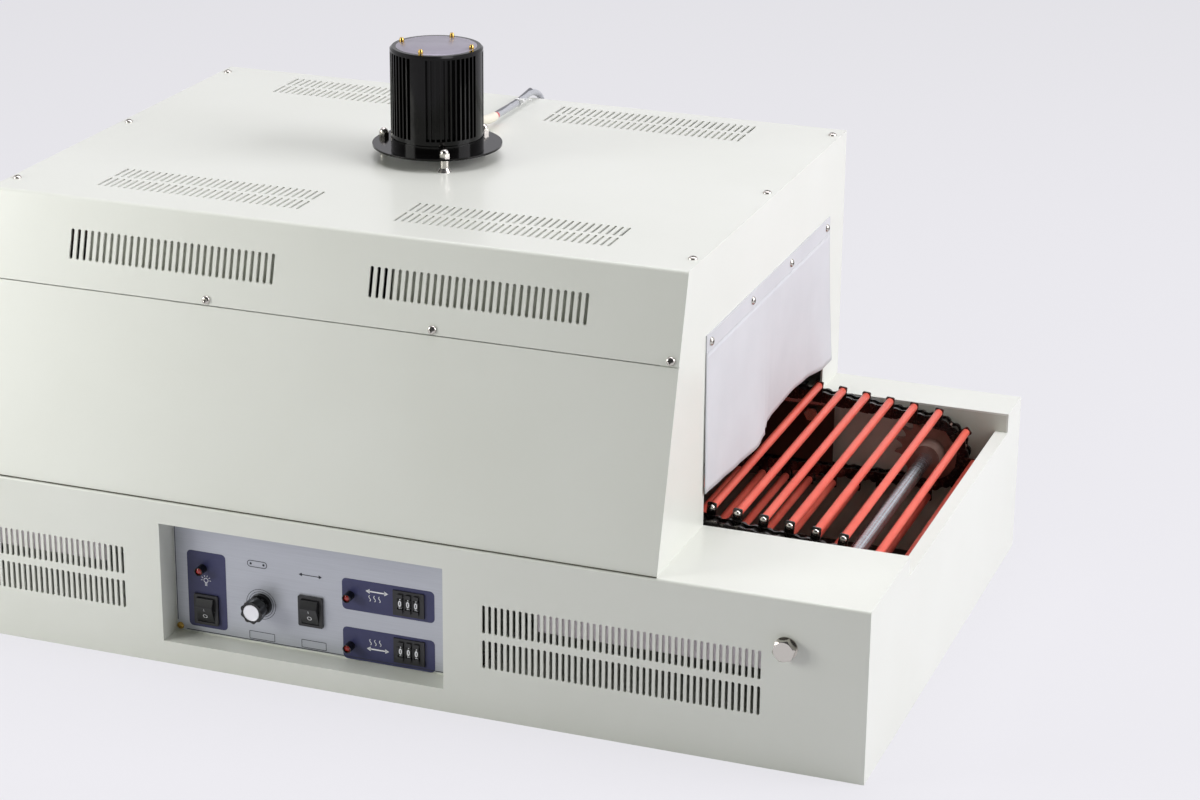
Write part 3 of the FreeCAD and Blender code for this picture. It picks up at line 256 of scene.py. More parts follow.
def grained(name, low, high, roughness, cell=0.9, depth=0.08, detail=2.0, relief=0.0003, index=1.53):
    """A finish whose colour and fine relief follow one grain."""
    material, tree, place = patterned(name)
    grit = add(tree, "ShaderNodeTexNoise", {"Vector": place, "Scale": per_mm(cell), "Detail": detail})
    tint = add(tree, "ShaderNodeMix", {
        "Factor": grit.outputs["Fac"], "A": linear(low), "B": linear(high)}, data_type="RGBA")
    grain = add(tree, "ShaderNodeBump", {
        "Height": grit.outputs["Fac"], "Strength": depth, "Distance": relief})
    skin = add(tree, "ShaderNodeBsdfPrincipled", {
        "Base Color": tint.outputs["Result"], "Roughness": roughness, "IOR": index,
        "Normal": grain.outputs["Normal"]})
    add(tree, "ShaderNodeOutputMaterial", {"Surface": skin.outputs["BSDF"]})
    return material


# Powder-coated sheet steel: an even pale cream with the faint ripple of baked powder and a soft sheen
powder_coat_cream, tree, place = patterned("powder_coat_cream")
cloud = add(tree, "ShaderNodeTexNoise", {"Vector": place, "Scale": per_mm(160), "Detail": 3.0})
tint = add(tree, "ShaderNodeMix", {
    "Factor": cloud.outputs["Fac"], "A": linear("#dadcd4"), "B": linear("#e3e5df")}, data_type="RGBA")
ripple = add(tree, "ShaderNodeTexNoise", {"Vector": place, "Scale": per_mm(2.5), "Detail": 1.0})
speckle = add(tree, "ShaderNodeMapRange", {"Value": ripple.outputs["Fac"], "To Min": 0.34, "To Max": 0.46})
peel = add(tree, "ShaderNodeBump", {"Height": ripple.outputs["Fac"], "Strength": 0.10, "Distance": 0.0004})
paint = add(tree, "ShaderNodeBsdfPrincipled", {
    "Base Color": tint.outputs["Result"], "Roughness": speckle.outputs["Result"], "IOR": 1.5,
    "Coat Weight": 0.2, "Coat Roughness": 0.12, "Normal": peel.outputs["Normal"]})
add(tree, "ShaderNodeOutputMaterial", {"Surface": paint.outputs["BSDF"]})

# The same coat on the bay walls and behind the vents, drawn darker than the cream coat as painted shade for
# these shadowed places, and dulled by dust that lies in patches
powder_coat_dust_and_shade, tree, place = patterned("powder_coat_dust_and_shade")
dust = add(tree, "ShaderNodeTexNoise", {
    "Vector": place, "Scale": per_mm(45), "Detail": 6.0, "Roughness": 0.65})
tint = add(tree, "ShaderNodeMix", {
    "Factor": dust.outputs["Fac"], "A": linear("#c3c5ba"), "B": linear("#d6d8ce")}, data_type="RGBA")
grit = add(tree, "ShaderNodeTexNoise", {"Vector": place, "Scale": per_mm(1.5), "Detail": 2.0})
grain = add(tree, "ShaderNodeBump", {"Height": grit.outputs["Fac"], "Strength": 0.15, "Distance": 0.0004})
paint = add(tree, "ShaderNodeBsdfPrincipled", {
    "Base Color": tint.outputs["Result"], "Roughness": 0.55, "IOR": 1.5, "Normal": grain.outputs["Normal"]})
add(tree, "ShaderNodeOutputMaterial", {"Surface": paint.outputs["BSDF"]})

# Bay floor and side plates: a dark brown sheet whose darkness is painted shade for the deep bay; blotchy,
# with glossy oil films
floor_and_plates_painted_shade, tree, place = patterned("dark_floor_sheet_painted_shade")
stain = add(tree, "ShaderNodeTexNoise", {
    "Vector": place, "Scale": per_mm(70), "Detail": 8.0, "Roughness": 0.6})
tint = add(tree, "ShaderNodeMix", {
    "Factor": stain.outputs["Fac"], "A": linear("#2a221c"), "B": linear("#4a3f35")}, data_type="RGBA")
film = add(tree, "ShaderNodeMapRange", {"Value": stain.outputs["Fac"], "To Min": 0.25, "To Max": 0.6})
sheet = add(tree, "ShaderNodeBsdfPrincipled", {
    "Base Color": tint.outputs["Result"], "Roughness": film.outputs["Result"], "Metallic": 0.4})
add(tree, "ShaderNodeOutputMaterial", {"Surface": sheet.outputs["BSDF"]})

# Galvanised sheet inside the hood: grey zinc with large pale crystals
galvanised_sheet, tree, place = patterned("galvanised_sheet")
crystal = add(tree, "ShaderNodeTexVoronoi", {"Vector": place, "Scale": per_mm(14)})
tone = add(tree, "ShaderNodeMapRange", {"Value": crystal.outputs["Distance"], "To Min": 0.3, "To Max": 0.5})
tint = add(tree, "ShaderNodeMix", {"Factor": crystal.outputs["Distance"], "A": linear("#8d9092"),
                                   "B": linear("#b4b7b8")}, data_type="RGBA")
zinc = add(tree, "ShaderNodeBsdfPrincipled", {
    "Base Color": tint.outputs["Result"], "Roughness": tone.outputs["Result"], "Metallic": 1.0})
add(tree, "ShaderNodeOutputMaterial", {"Surface": zinc.outputs["BSDF"]})

# Bright zinc-plated steel of screws, nuts and standoffs: mirror-like, a little cloudy
bright_zinc, tree, place = patterned("bright_zinc_plate")
cloud = add(tree, "ShaderNodeTexNoise", {"Vector": place, "Scale": per_mm(3), "Detail": 3.0})
haze = add(tree, "ShaderNodeMapRange", {"Value": cloud.outputs["Fac"], "To Min": 0.14, "To Max": 0.32})
plate = add(tree, "ShaderNodeBsdfPrincipled", {
    "Base Color": linear("#c9c5be"), "Roughness": haze.outputs["Result"], "Metallic": 1.0})
add(tree, "ShaderNodeOutputMaterial", {"Surface": plate.outputs["BSDF"]})

# Ground and polished shaft steel: fine rings round the bar streak its highlight
ground_steel, tree, place = patterned("ground_shaft_steel")
stretch = add(tree, "ShaderNodeMapping", {"Vector": place, "Scale": (0.02, 1, 0.02)})
rings = add(tree, "ShaderNodeTexNoise", {
    "Vector": stretch.outputs["Vector"], "Scale": per_mm(0.8), "Detail": 3.0})
haze = add(tree, "ShaderNodeMapRange", {"Value": rings.outputs["Fac"], "To Min": 0.16, "To Max": 0.34})
lathe = add(tree, "ShaderNodeBump", {"Height": rings.outputs["Fac"], "Strength": 0.08, "Distance": 0.0001})
steel = add(tree, "ShaderNodeBsdfPrincipled", {
    "Base Color": linear("#d6d9de"), "Roughness": haze.outputs["Result"], "Metallic": 1.0,
    "Normal": lathe.outputs["Normal"]})
add(tree, "ShaderNodeOutputMaterial", {"Surface": steel.outputs["BSDF"]})

# Sprocket steel drawn a light brown in soft patches, its colour raised as a painted highlight for the broad
# sheen on its turned faces
sprocket_painted_highlight = clouded("brown_steel_painted_highlight", "#7d5c50", "#b39c91", 9, 5.0, (0.3, 0.5), {"Metallic": 0.6})

# Black-oxide chain steel wet with oil: nearly black, bright in patches where the oxide has rubbed off
black_oxide, tree, place = patterned("black_oxide_chain_steel")
rub = add(tree, "ShaderNodeTexNoise", {"Vector": place, "Scale": per_mm(4), "Detail": 6.0, "Roughness": 0.7})
worn = add(tree, "ShaderNodeMapRange", {"Value": rub.outputs["Fac"], "From Min": 0.52, "From Max": 0.72})
tint = add(tree, "ShaderNodeMix", {
    "Factor": worn.outputs["Result"], "A": linear("#2b2725"), "B": linear("#80776f")}, data_type="RGBA")
steel = add(tree, "ShaderNodeBsdfPrincipled", {
    "Base Color": tint.outputs["Result"], "Roughness": 0.28, "Metallic": 0.8, "Coat Weight": 0.7,
    "Coat Roughness": 0.1})
add(tree, "ShaderNodeOutputMaterial", {"Surface": steel.outputs["BSDF"]})

# Extruded silicone rubber tube: coral red, waxy, with light that goes a little way in
silicone_tube = clouded("silicone_tube_coral", "#d55546", "#e77260", 22, 4.0, (0.28, 0.46), {
    "IOR": 1.41, "Subsurface Weight": 0.2, "Subsurface Radius": (0.004, 0.0012, 0.0008),
    "Subsurface Scale": 1.0})

# Coated glass cloth of the curtains: grey-white plain weave, drawn at 1.6 mm so that its threads show
glass_cloth, tree, place = patterned("coated_glass_cloth")
warp = add(tree, "ShaderNodeTexWave", {"Vector": place, "Scale": per_mm(1.6) / 20, "Distortion": 0.4},
           bands_direction="Y")
weft = add(tree, "ShaderNodeTexWave", {"Vector": place, "Scale": per_mm(1.6) / 20, "Distortion": 0.4},
           bands_direction="Z")
threads = add(tree, "ShaderNodeMath", {0: warp.outputs["Fac"], 1: weft.outputs["Fac"]}, operation="ADD")
weave = add(tree, "ShaderNodeBump", {
    "Height": threads.outputs["Value"], "Strength": 0.07, "Distance": 0.0003})
soil = add(tree, "ShaderNodeTexNoise", {"Vector": place, "Scale": per_mm(60), "Detail": 4.0})
tint = add(tree, "ShaderNodeMix", {
    "Factor": soil.outputs["Fac"], "A": linear("#c3c4c8"), "B": linear("#d4d5d9")}, data_type="RGBA")
cloth = add(tree, "ShaderNodeBsdfPrincipled", {
    "Base Color": tint.outputs["Result"], "Roughness": 0.62, "IOR": 1.5, "Sheen Weight": 0.15,
    "Normal": weave.outputs["Normal"]})
add(tree, "ShaderNodeOutputMaterial", {"Surface": cloth.outputs["BSDF"]})

# Screen-printed silver aluminium sheet of the faceplate: fine brushing along its length under a matt lacquer
faceplate_silver, tree, place = patterned("lacquered_brushed_aluminium")
stretch = add(tree, "ShaderNodeMapping", {"Vector": place, "Scale": (0.02, 1, 1)})
brush = add(tree, "ShaderNodeTexNoise", {
    "Vector": stretch.outputs["Vector"], "Scale": per_mm(0.7), "Detail": 2.0})
tint = add(tree, "ShaderNodeMix", {
    "Factor": brush.outputs["Fac"], "A": linear("#aeb1b9"), "B": linear("#c0c3cb")}, data_type="RGBA")
haze = add(tree, "ShaderNodeMapRange", {"Value": brush.outputs["Fac"], "To Min": 0.34, "To Max": 0.48})
plate = add(tree, "ShaderNodeBsdfPrincipled", {
    "Base Color": tint.outputs["Result"], "Roughness": haze.outputs["Result"], "Metallic": 0.55})
add(tree, "ShaderNodeOutputMaterial", {"Surface": plate.outputs["BSDF"]})

# Screen-printing ink: flat colour with the slight unevenness of the mesh
navy_ink = clouded("printed_navy_ink", "#2e3055", "#393b63", 6, 3.0, 0.42, {"IOR": 1.5})
white_ink = clouded("printed_white_ink", "#dcdde2", "#eaebee", 6, 3.0, 0.42, {"IOR": 1.5})
dark_ink = clouded("printed_dark_ink", "#22232c", "#2e2f3a", 6, 3.0, 0.42, {"IOR": 1.5})

# Moulded and extruded plastics: a fine grain from the mould or die, with a gloss that depends on it
black_abs = grained("moulded_black_abs", "#161617", "#222224", 0.36)
gloss_phenolic = grained("polished_black_phenolic", "#121214", "#1a1a1c", 0.16, 2.0, 0.02)
rocker_nylon = grained("moulded_black_nylon_rocker", "#1a1a1c", "#262628", 0.3)
cable_pvc = grained("extruded_grey_pvc", "#9a9ca1", "#b2b4b9", 0.34, 3.0, 0.05)
cable_stripe = grained("extruded_dark_pvc_stripe", "#4e4f54", "#606167", 0.34, 3.0, 0.05)
wire_red = grained("extruded_red_wire", "#b81c26", "#d22a34", 0.35, 3.0, 0.05)
lead_sleeving = grained("varnished_glass_sleeving", "#dcd7c6", "#ebe7d9", 0.5, 1.4, 0.35)
tie_nylon = grained("moulded_white_nylon_tie", "#dfdfe0", "#efeff0", 0.34)
grommet_rubber = grained("moulded_black_rubber", "#191919", "#252525", 0.6)
# Dark grained finish for the bead at the hood's foot, which is painted shadow for the seam line there
seam_shadow_finish = grained("dark_seam_painted_shadow", "#46463a", "#56564a", 0.7)
fibre_board = grained("pressed_fibre_board", "#e9dfe8", "#f6eef5", 0.8, 4.0, 0.1)

# Moulded red lens over a lamp: glossy, glowing a little from inside where light passes through
lens_red, tree, place = patterned("moulded_red_lens")
facet = add(tree, "ShaderNodeTexVoronoi", {"Vector": place, "Scale": per_mm(1.1)})
prism = add(tree, "ShaderNodeBump", {
    "Height": facet.outputs["Distance"], "Strength": 0.25, "Distance": 0.0003})
tint = add(tree, "ShaderNodeMix", {"Factor": facet.outputs["Distance"], "A": linear("#6e0f0b"),
                                   "B": linear("#b3281d")}, data_type="RGBA")
lens = add(tree, "ShaderNodeBsdfPrincipled", {
    "Base Color": tint.outputs["Result"], "Roughness": 0.12, "IOR": 1.49, "Subsurface Weight": 0.3,
    "Subsurface Radius": (0.003, 0.0005, 0.0004), "Subsurface Scale": 1.0, "Coat Weight": 0.6,
    "Normal": prism.outputs["Normal"]})
add(tree, "ShaderNodeOutputMaterial", {"Surface": lens.outputs["BSDF"]})

# Turned brass screw heads, slightly tarnished in patches
turned_brass = clouded("turned_brass", "#9c7a34", "#e0bd6a", 2.5, 4.0, 0.28, {"Metallic": 1.0})

# Gloss black anodised die casting of the motor: deep black with a clear, slightly wavy shine
black_anodised, tree, place = patterned("gloss_black_anodised_casting")
cast = add(tree, "ShaderNodeTexNoise", {"Vector": place, "Scale": per_mm(7), "Detail": 3.0})
haze = add(tree, "ShaderNodeMapRange", {"Value": cast.outputs["Fac"], "To Min": 0.08, "To Max": 0.15})
tint = add(tree, "ShaderNodeMix", {
    "Factor": cast.outputs["Fac"], "A": linear("#070707"), "B": linear("#0f0e0e")}, data_type="RGBA")
wave = add(tree, "ShaderNodeBump", {"Height": cast.outputs["Fac"], "Strength": 0.03, "Distance": 0.0005})
casting = add(tree, "ShaderNodeBsdfPrincipled", {
    "Base Color": tint.outputs["Result"], "Roughness": haze.outputs["Result"], "IOR": 1.3,
    "Normal": wave.outputs["Normal"]})
add(tree, "ShaderNodeOutputMaterial", {"Surface": casting.outputs["BSDF"]})

# Faced top of the motor cap: its gloss black drawn as a lilac grey, a painted reflection of the pale studio,
# with the faint broad rings left by the facing tool, drawn 6 mm wide so that they show
cap_top_painted_reflection, tree, place = patterned("faced_top_painted_reflection")
centred = add(tree, "ShaderNodeVectorMath", {
    0: place, 1: (0, -motor_y / 1000, -motor_top / 1000)}, operation="ADD")
reach = add(tree, "ShaderNodeVectorMath", {0: centred.outputs["Vector"]}, operation="LENGTH")
rings = add(tree, "ShaderNodeTexNoise", {"W": reach.outputs["Value"], "Scale": per_mm(6), "Detail": 2.0},
            noise_dimensions="1D")
tint = add(tree, "ShaderNodeMix", {
    "Factor": rings.outputs["Fac"], "A": linear("#8d8894"), "B": linear("#a39fab")}, data_type="RGBA")
haze = add(tree, "ShaderNodeMapRange", {"Value": rings.outputs["Fac"], "To Min": 0.3, "To Max": 0.42})
top = add(tree, "ShaderNodeBsdfPrincipled", {
    "Base Color": tint.outputs["Result"], "Roughness": haze.outputs["Result"], "Metallic": 0.5})
add(tree, "ShaderNodeOutputMaterial", {"Surface": top.outputs["BSDF"]})

# Spun aluminium insert of the knob: concentric rings that fan the light into a cross
spun_aluminium, tree, place = patterned("spun_aluminium_insert")
centred = add(tree, "ShaderNodeMapping", {"Vector": place, "Location": (-knob_centre[0] / 1000, 0,
                                                                       -knob_centre[1] / 1000)})
rings = add(tree, "ShaderNodeTexWave", {"Vector": centred.outputs["Vector"], "Scale": per_mm(1.0) / 20},
            wave_type="RINGS", rings_direction="Y")
turning = add(tree, "ShaderNodeBump", {"Height": rings.outputs["Fac"], "Strength": 0.2, "Distance": 0.0002})
insert = add(tree, "ShaderNodeBsdfPrincipled", {
    "Base Color": linear("#f0f0f3"), "Roughness": 0.38, "Metallic": 0.7, "Anisotropic": 0.6,
    "Normal": turning.outputs["Normal"]})
add(tree, "ShaderNodeOutputMaterial", {"Surface": insert.outputs["BSDF"]})

# Grey painted cast iron of the gearmotor: coarse sand-cast skin under hammered paint
cast_iron_grey = grained("painted_cast_iron", "#54585a", "#6b7072", 0.5, 1.8, 0.4, 5.0, 0.0006, 1.5)

# Fused-quartz heater sleeves: milky, glossy, faintly streaked along the tube
quartz, tree, place = patterned("milky_fused_quartz")
stretch = add(tree, "ShaderNodeMapping", {"Vector": place, "Scale": (1, 0.05, 1)})
streak = add(tree, "ShaderNodeTexNoise", {
    "Vector": stretch.outputs["Vector"], "Scale": per_mm(2), "Detail": 2.0})
tint = add(tree, "ShaderNodeMix", {
    "Factor": streak.outputs["Fac"], "A": linear("#cfcac2"), "B": linear("#efece6")}, data_type="RGBA")
tube = add(tree, "ShaderNodeBsdfPrincipled", {
    "Base Color": tint.outputs["Result"], "Roughness": 0.14, "IOR": 1.46, "Subsurface Weight": 0.2,
    "Subsurface Radius": (0.004, 0.004, 0.004), "Subsurface Scale": 1.0})
add(tree, "ShaderNodeOutputMaterial", {"Surface": tube.outputs["BSDF"]})

# Finishes of the solids that are shown as they are
finishes = {
    powder_coat_cream: ["base_front_panel", "base_back_panel", "base_end_right", "base_end_left",
                        "hood_top_cover", "hood_lower_front", "hood_back_panel", "hood_end_right",
                        "hood_end_left", "control_recess"],
    powder_coat_dust_and_shade: ["bay_walls"],
    floor_and_plates_painted_shade: ["base_bottom_pan", "side_plates"],
    galvanised_sheet: ["chamber_liner", "fan_impeller"],
    bright_zinc: ["axle_bolts", "cover_screws", "motor_standoffs", "fan_shaft", "entry_bearings"],
    ground_steel: ["exit_axle", "entry_shaft", "chain_rails"],
    sprocket_painted_highlight: ["exit_sprockets", "entry_sprockets"],
    faceplate_silver: ["control_plate"],
    turned_brass: ["brass_screws"],
    black_abs: ["switch_frames", "setter_housings", "speed_potentiometer"],
    rocker_nylon: ["power_rocker", "heater_rocker"],
    gloss_phenolic: ["speed_knob"],
    black_anodised: ["motor_flange", "motor_housing", "motor_cap"],
    cast_iron_grey: ["drive_gearmotor"],
    quartz: ["upper_heaters", "lower_heaters"],
    cable_pvc: ["motor_lead"],
    lead_sleeving: ["lead_sleeve"],
    grommet_rubber: ["lead_grommet"],
    glass_cloth: ["curtain_clamps"],
}
for row in wheel_levels:
    finishes[black_abs].extend(row + "_setter_wheel_" + str(number) for number in (1, 2, 3))
for finish, nodes in finishes.items():
    for node in nodes:
        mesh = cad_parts[node].data
        mesh.materials.clear()
        mesh.materials.append(finish)

# Conveyor loop: the same line as the solids follow
ramp_reach = math.hypot(shaft_x - ramp_start, run_height - shaft_height)
pitch_radius = chain_pitch / (2 * math.sin(math.pi / sprocket_teeth))
wrap_radius = chain_pitch * sprocket_teeth / (2 * math.pi)
slope = math.atan2(run_height - shaft_height, shaft_x - ramp_start) - math.asin(pitch_radius / ramp_reach)
touch_x = shaft_x + pitch_radius * math.sin(slope)
touch_z = shaft_height + pitch_radius * math.cos(slope)
ramp_length = math.hypot(touch_x - ramp_start, run_height - touch_z)
wrap_length = wrap_radius * (math.pi - slope)
loop_length = 2 * (ramp_start + ramp_length + wrap_length + shaft_x)
rod_count = round(loop_length / (2 * chain_pitch))
rod_spacing = loop_length / rod_count


def station(distance):
    """Body, place, outward angle and radius at a distance along the loop from the exit touch point."""
    distance = distance % loop_length
    if distance < wrap_length - hand_over:
        return "exit_wheel", shaft_x, shaft_height, math.pi / 2 - slope - distance / wrap_radius, pitch_radius
    distance -= wrap_length
    if distance < 2 * shaft_x:
        return "lower_run", shaft_x - distance, shaft_height - pitch_radius, -math.pi / 2, 0
    distance -= 2 * shaft_x
    if distance < wrap_length - hand_over:
        return "entry_wheel", -shaft_x, shaft_height, -math.pi / 2 - distance / wrap_radius, pitch_radius
    distance -= wrap_length
    if distance < ramp_length:
        x = -touch_x + distance * math.cos(slope)
        return "upper_run", x, touch_z + distance * math.sin(slope), math.pi / 2 + slope, 0
    distance -= ramp_length
    if distance < 2 * ramp_start:
        return "upper_run", distance - ramp_start, run_height, math.pi / 2, 0
    distance -= 2 * ramp_start
    x = ramp_start + distance * math.cos(slope)
    return "upper_run", x, run_height - distance * math.sin(slope), math.pi / 2 - slope, 0


def raised(spot, height):
    """Point at a height above the pitch line, as X and Z."""
    body, x, z, turn, radius = spot
    return x + (radius + height) * math.cos(turn), z + (radius + height) * math.sin(turn)


def on_chain(x, y, z, turn):
    """Place of a pattern that is drawn with its X along the chain and its Z outwards."""
    along = (math.sin(turn), 0, -math.cos(turn))
    outward = (math.cos(turn), 0, math.sin(turn))
    return Matrix.Translation((x, y, z)) @ Matrix((along, (0, 1, 0), outward)).transposed().to_4x4()


link_waist = 0.74
link_pin_radius = 1.9
link_pin_proud = 0.9
tab_corner = 1.6
rod_edge = 0.5


def link_plate(shape, near, far):
    """Figure-of-eight side plate between two Y places."""
    end = chain_pitch + chain_plate_height
    lie = Matrix.Rotation(math.pi / 2, 4, "X") @ Matrix.Diagonal((end, chain_plate_height, 1, 1))
    made = bmesh.ops.create_grid(shape, x_segments=4, y_segments=1, size=0.5, matrix=lie)["verts"]
    for corner in made:
        if abs(corner.co.x) < 0.1:
            corner.co.z *= link_waist
    tips = [corner for corner in made if abs(corner.co.x) > end / 2 - 0.1]
    rounded(shape, tips, chain_plate_height * 0.42, 3)
    faces = [face for face in shape.faces if all(abs(corner.co.y) < 0.01 for corner in face.verts)]
    flat = list({corner for face in faces for corner in face.verts})
    bmesh.ops.translate(shape, vec=(0, near, 0), verts=flat)
    thickened(shape, faces, (0, far - near, 0))


inner_edge = chain_inner_width / 2
outer_edge = inner_edge + chain_plate
outer_link = bmesh.new()
inner_link = bmesh.new()
for side in (-1, 1):
    link_plate(outer_link, side * outer_edge, side * (outer_edge + chain_plate))
    link_plate(inner_link, side * inner_edge, side * outer_edge)
for end in (-chain_pitch / 2, chain_pitch / 2):
    reach = chain_half_width + link_pin_proud
    bar(outer_link, (end, -reach, 0), (end, reach, 0), link_pin_radius, sides=10)
    bar(inner_link, (end, -inner_edge, 0), (end, inner_edge, 0), roller_radius, sides=14)
outer_link = pattern(outer_link)
inner_link = pattern(inner_link)

tab_low = -chain_plate_height / 2
tab_high = rod_standoff + tab_above_rod
stand = Matrix.Translation((0, chain_half_width, (tab_low + tab_high) / 2))
tab, corners = rectangle(tab_width, tab_high - tab_low, stand @ Matrix.Rotation(math.pi / 2, 4, "X"))
rounded(tab, [corner for corner in corners if corner.co.z > 0], tab_corner, 4)
thickened(tab, list(tab.faces), (0, chain_plate, 0))
tab = pattern(tab)

pin_head = pattern(spun([(0, 0), (3.5, 0), (3.5, 1.1), (2.9, 2.2), (1.5, 2.8), (0, 3.0)], 14))

rod = bmesh.new()
rod_start = chain_y[0] + chain_half_width + chain_plate + rod_end_gap
rod_end = chain_y[1] - chain_half_width - chain_plate - rod_end_gap
bar(rod, (0, rod_start, 0), (0, rod_end, 0), rod_radius)
ends = [edge for edge in rod.edges if abs(edge.verts[0].co.y - edge.verts[1].co.y) < 0.01]
rounded(rod, ends, rod_edge, 2, "EDGES")
rod = pattern(rod)

bodies_of_chain = {"upper_run": "upper", "lower_run": "lower", "exit_wheel": "exit", "entry_wheel": "entry"}
links = {body: bmesh.new() for body in bodies_of_chain}
heads = {body: bmesh.new() for body in bodies_of_chain}
tubes = {body: bmesh.new() for body in bodies_of_chain}
for index in range(2 * rod_count):
    middle = rod_phase + index * rod_spacing / 2
    spot = station(middle)
    body, turn = spot[0], spot[3]
    first = Vector(raised(station(middle - rod_spacing / 4), 0))
    second = Vector(raised(station(middle + rod_spacing / 4), 0))
    x, z = (first + second) / 2
    lean = math.atan2(second.y - first.y, second.x - first.x) + math.pi / 2
    for centre in chain_y:
        placed(links[body], inner_link if index % 2 else outer_link, on_chain(x, centre, z, lean))
    if index % 2 == 0:
        tube_x, tube_z = raised(spot, rod_standoff)
        placed(tubes[body], rod, on_chain(tube_x, 0, tube_z, turn))
        tab_x, tab_z = raised(spot, 0)
        for centre, side in ((chain_y[0], 1), (chain_y[1], -1)):
            stand = on_chain(tab_x, centre, tab_z, turn)
            if side < 0:
                stand = stand @ Matrix.Rotation(math.pi, 4, "Z")
            placed(links[body], tab, stand)
            head_y = centre + side * chain_half_width
            placed(heads[body], pin_head, facing((tube_x, head_y, tube_z), (0, -side, 0)))
for body, node in bodies_of_chain.items():
    piece(links[body], node + "_chain_links", black_oxide, body, [node + "_chain"])
    piece(heads[body], node + "_pin_heads", bright_zinc, body)
    piece(tubes[body], node + "_rod_tubes", silicone_tube, body, [node + "_rods"])


# Curtains: sheets that hang in slack waves from the strip that holds their top edge
cloth_thickness = 1.0
exit_wave = [(0, 1.5), (0.1, 4), (0.2, 7), (0.33, 10.5), (0.41, 7), (0.46, 2), (0.51, -2), (0.56, -3.5),
             (0.74, -4.5), (0.83, -2), (0.93, 6), (1, 6.7)]
entry_wave = [(0, 3), (0.15, 6), (0.3, 1), (0.45, -2), (0.6, 2), (0.75, 6), (0.9, 3), (1, 2)]


def curtain(name, side, wave):
    """A hanging sheet; wave gives its bottom edge as (share of the width, distance out)."""
    across, down = 96, 28
    drop = curtain_hinge - curtain_low
    shape = bmesh.new()
    bmesh.ops.create_grid(shape, x_segments=across, y_segments=down, size=0.5)
    for corner in shape.verts:
        share = corner.co.x + 0.5
        fall = 0.5 - corner.co.y
        before = max(point for point in wave if point[0] <= share + 1e-6)
        after = min(point for point in wave if point[0] >= share - 1e-6)
        part = (share - before[0]) / max(after[0] - before[0], 1e-6)
        part = part * part * (3 - 2 * part)
        out = (before[1] + (after[1] - before[1]) * part) * fall ** 1.5
        corner.co = (side * (curtain_x + out), bay_middle + (share - 0.5) * curtain_width,
                     curtain_hinge - drop * fall)
    node = "curtain_right" if side > 0 else "curtain_left"
    bmesh.ops.scale(shape, vec=(0.001, 0.001, 0.001), verts=shape.verts)
    mesh = bpy.data.meshes.new(name)
    shape.to_mesh(mesh)
    shape.free()
    mesh.materials.append(glass_cloth)
    mesh.polygons.foreach_set("use_smooth", [True] * len(mesh.polygons))
    sheet = shown(name, mesh)
    thickness = sheet.modifiers.new("thickness", "SOLIDIFY")
    thickness.thickness = cloth_thickness / 1000
    thickness.offset = 0
    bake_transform(sheet)
    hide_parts(node)


curtain("exit_curtain_sheet", 1, exit_wave)
curtain("entry_curtain_sheet", -1, entry_wave)


# Print on the faceplate, a hair in front of its surface: fields first, symbols over them
field_lift = 0.06
symbol_lift = 0.12
print_level = plate_front - field_lift


def upright(x, z):
    """Place of a flat shape that is drawn lying down, on the faceplate."""
    return facing((x, print_level, z), (0, -1, 0))


def outlined(patch, line):
    """Keeps only a line along the edge of a flat shape."""
    middle = list(patch.faces)
    bmesh.ops.inset_individual(patch, faces=middle, thickness=line, use_even_offset=True)
    bmesh.ops.delete(patch, geom=middle, context="FACES")


def tablet(shape, x, z, radius, line=None):
    """A filled rounded rectangle, or only its outline of a given line width."""
    patch, corners = rectangle(x[1] - x[0], z[1] - z[0])
    rounded(patch, corners, radius, 5)
    if line:
        outlined(patch, line)
    placed(shape, pattern(patch), upright((x[0] + x[1]) / 2, (z[0] + z[1]) / 2))


def stroke(shape, start, end, width):
    """A straight printed line."""
    way = Vector(end) - Vector(start)
    patch, corners = rectangle(way.length, width, Matrix.Rotation(math.atan2(way.y, way.x), 4, "Z"))
    placed(shape, pattern(patch), upright(*((Vector(start) + Vector(end)) / 2)))


def ring(shape, x, z, radius, line=None):
    """A printed circle, filled or as a line."""
    patch = bmesh.new()
    bmesh.ops.create_circle(patch, cap_ends=True, segments=40, radius=radius)
    if line:
        outlined(patch, line)
    placed(shape, pattern(patch), upright(x, z))


def arrow(shape, tail, tip, width, head):
    """A printed arrow on a level line."""
    way = 1 if tip[0] > tail[0] else -1
    neck = tip[0] - way * head * 0.6
    stroke(shape, tail, (neck, tip[1]), width)
    patch = bmesh.new()
    bmesh.ops.create_circle(patch, cap_ends=True, segments=3, radius=head * 0.62)
    placed(shape, pattern(patch), upright(neck, tip[1]) @ Matrix.Rotation(-way * math.pi / 2, 4, "Z"))


def squiggle(shape, x, z, height, width):
    """A rising wavy line that stands for warmth."""
    steps = 8
    swing = 0.9
    points = [(x + swing * math.sin(2 * math.pi * step / steps), z + height * (step / steps - 0.5))
              for step in range(steps + 1)]
    for start, end in zip(points, points[1:]):
        stroke(shape, start, end, width)


def glyph(text, size, weight=0.0):
    """A letter or digit as a flat pattern about its own middle."""
    curve = bpy.data.curves.new("glyph", "FONT")
    curve.body = text
    curve.size = size
    curve.align_x = "CENTER"
    curve.align_y = "CENTER"
    curve.offset = weight
    holder = shown("glyph", curve)
    bpy.context.view_layer.update()
    mesh = bpy.data.meshes.new_from_object(holder.evaluated_get(bpy.context.evaluated_depsgraph_get()))
    bpy.data.objects.remove(holder)
    return mesh


field_corner = 4.5
navy = bmesh.new()
for x, z in (((-131, -90), (31, 110)), ((31.6, 126), (75, 107)), ((31.6, 126), (24, 57))):
    tablet(navy, x, z, field_corner)
piece(navy, "printed_fields", navy_ink)

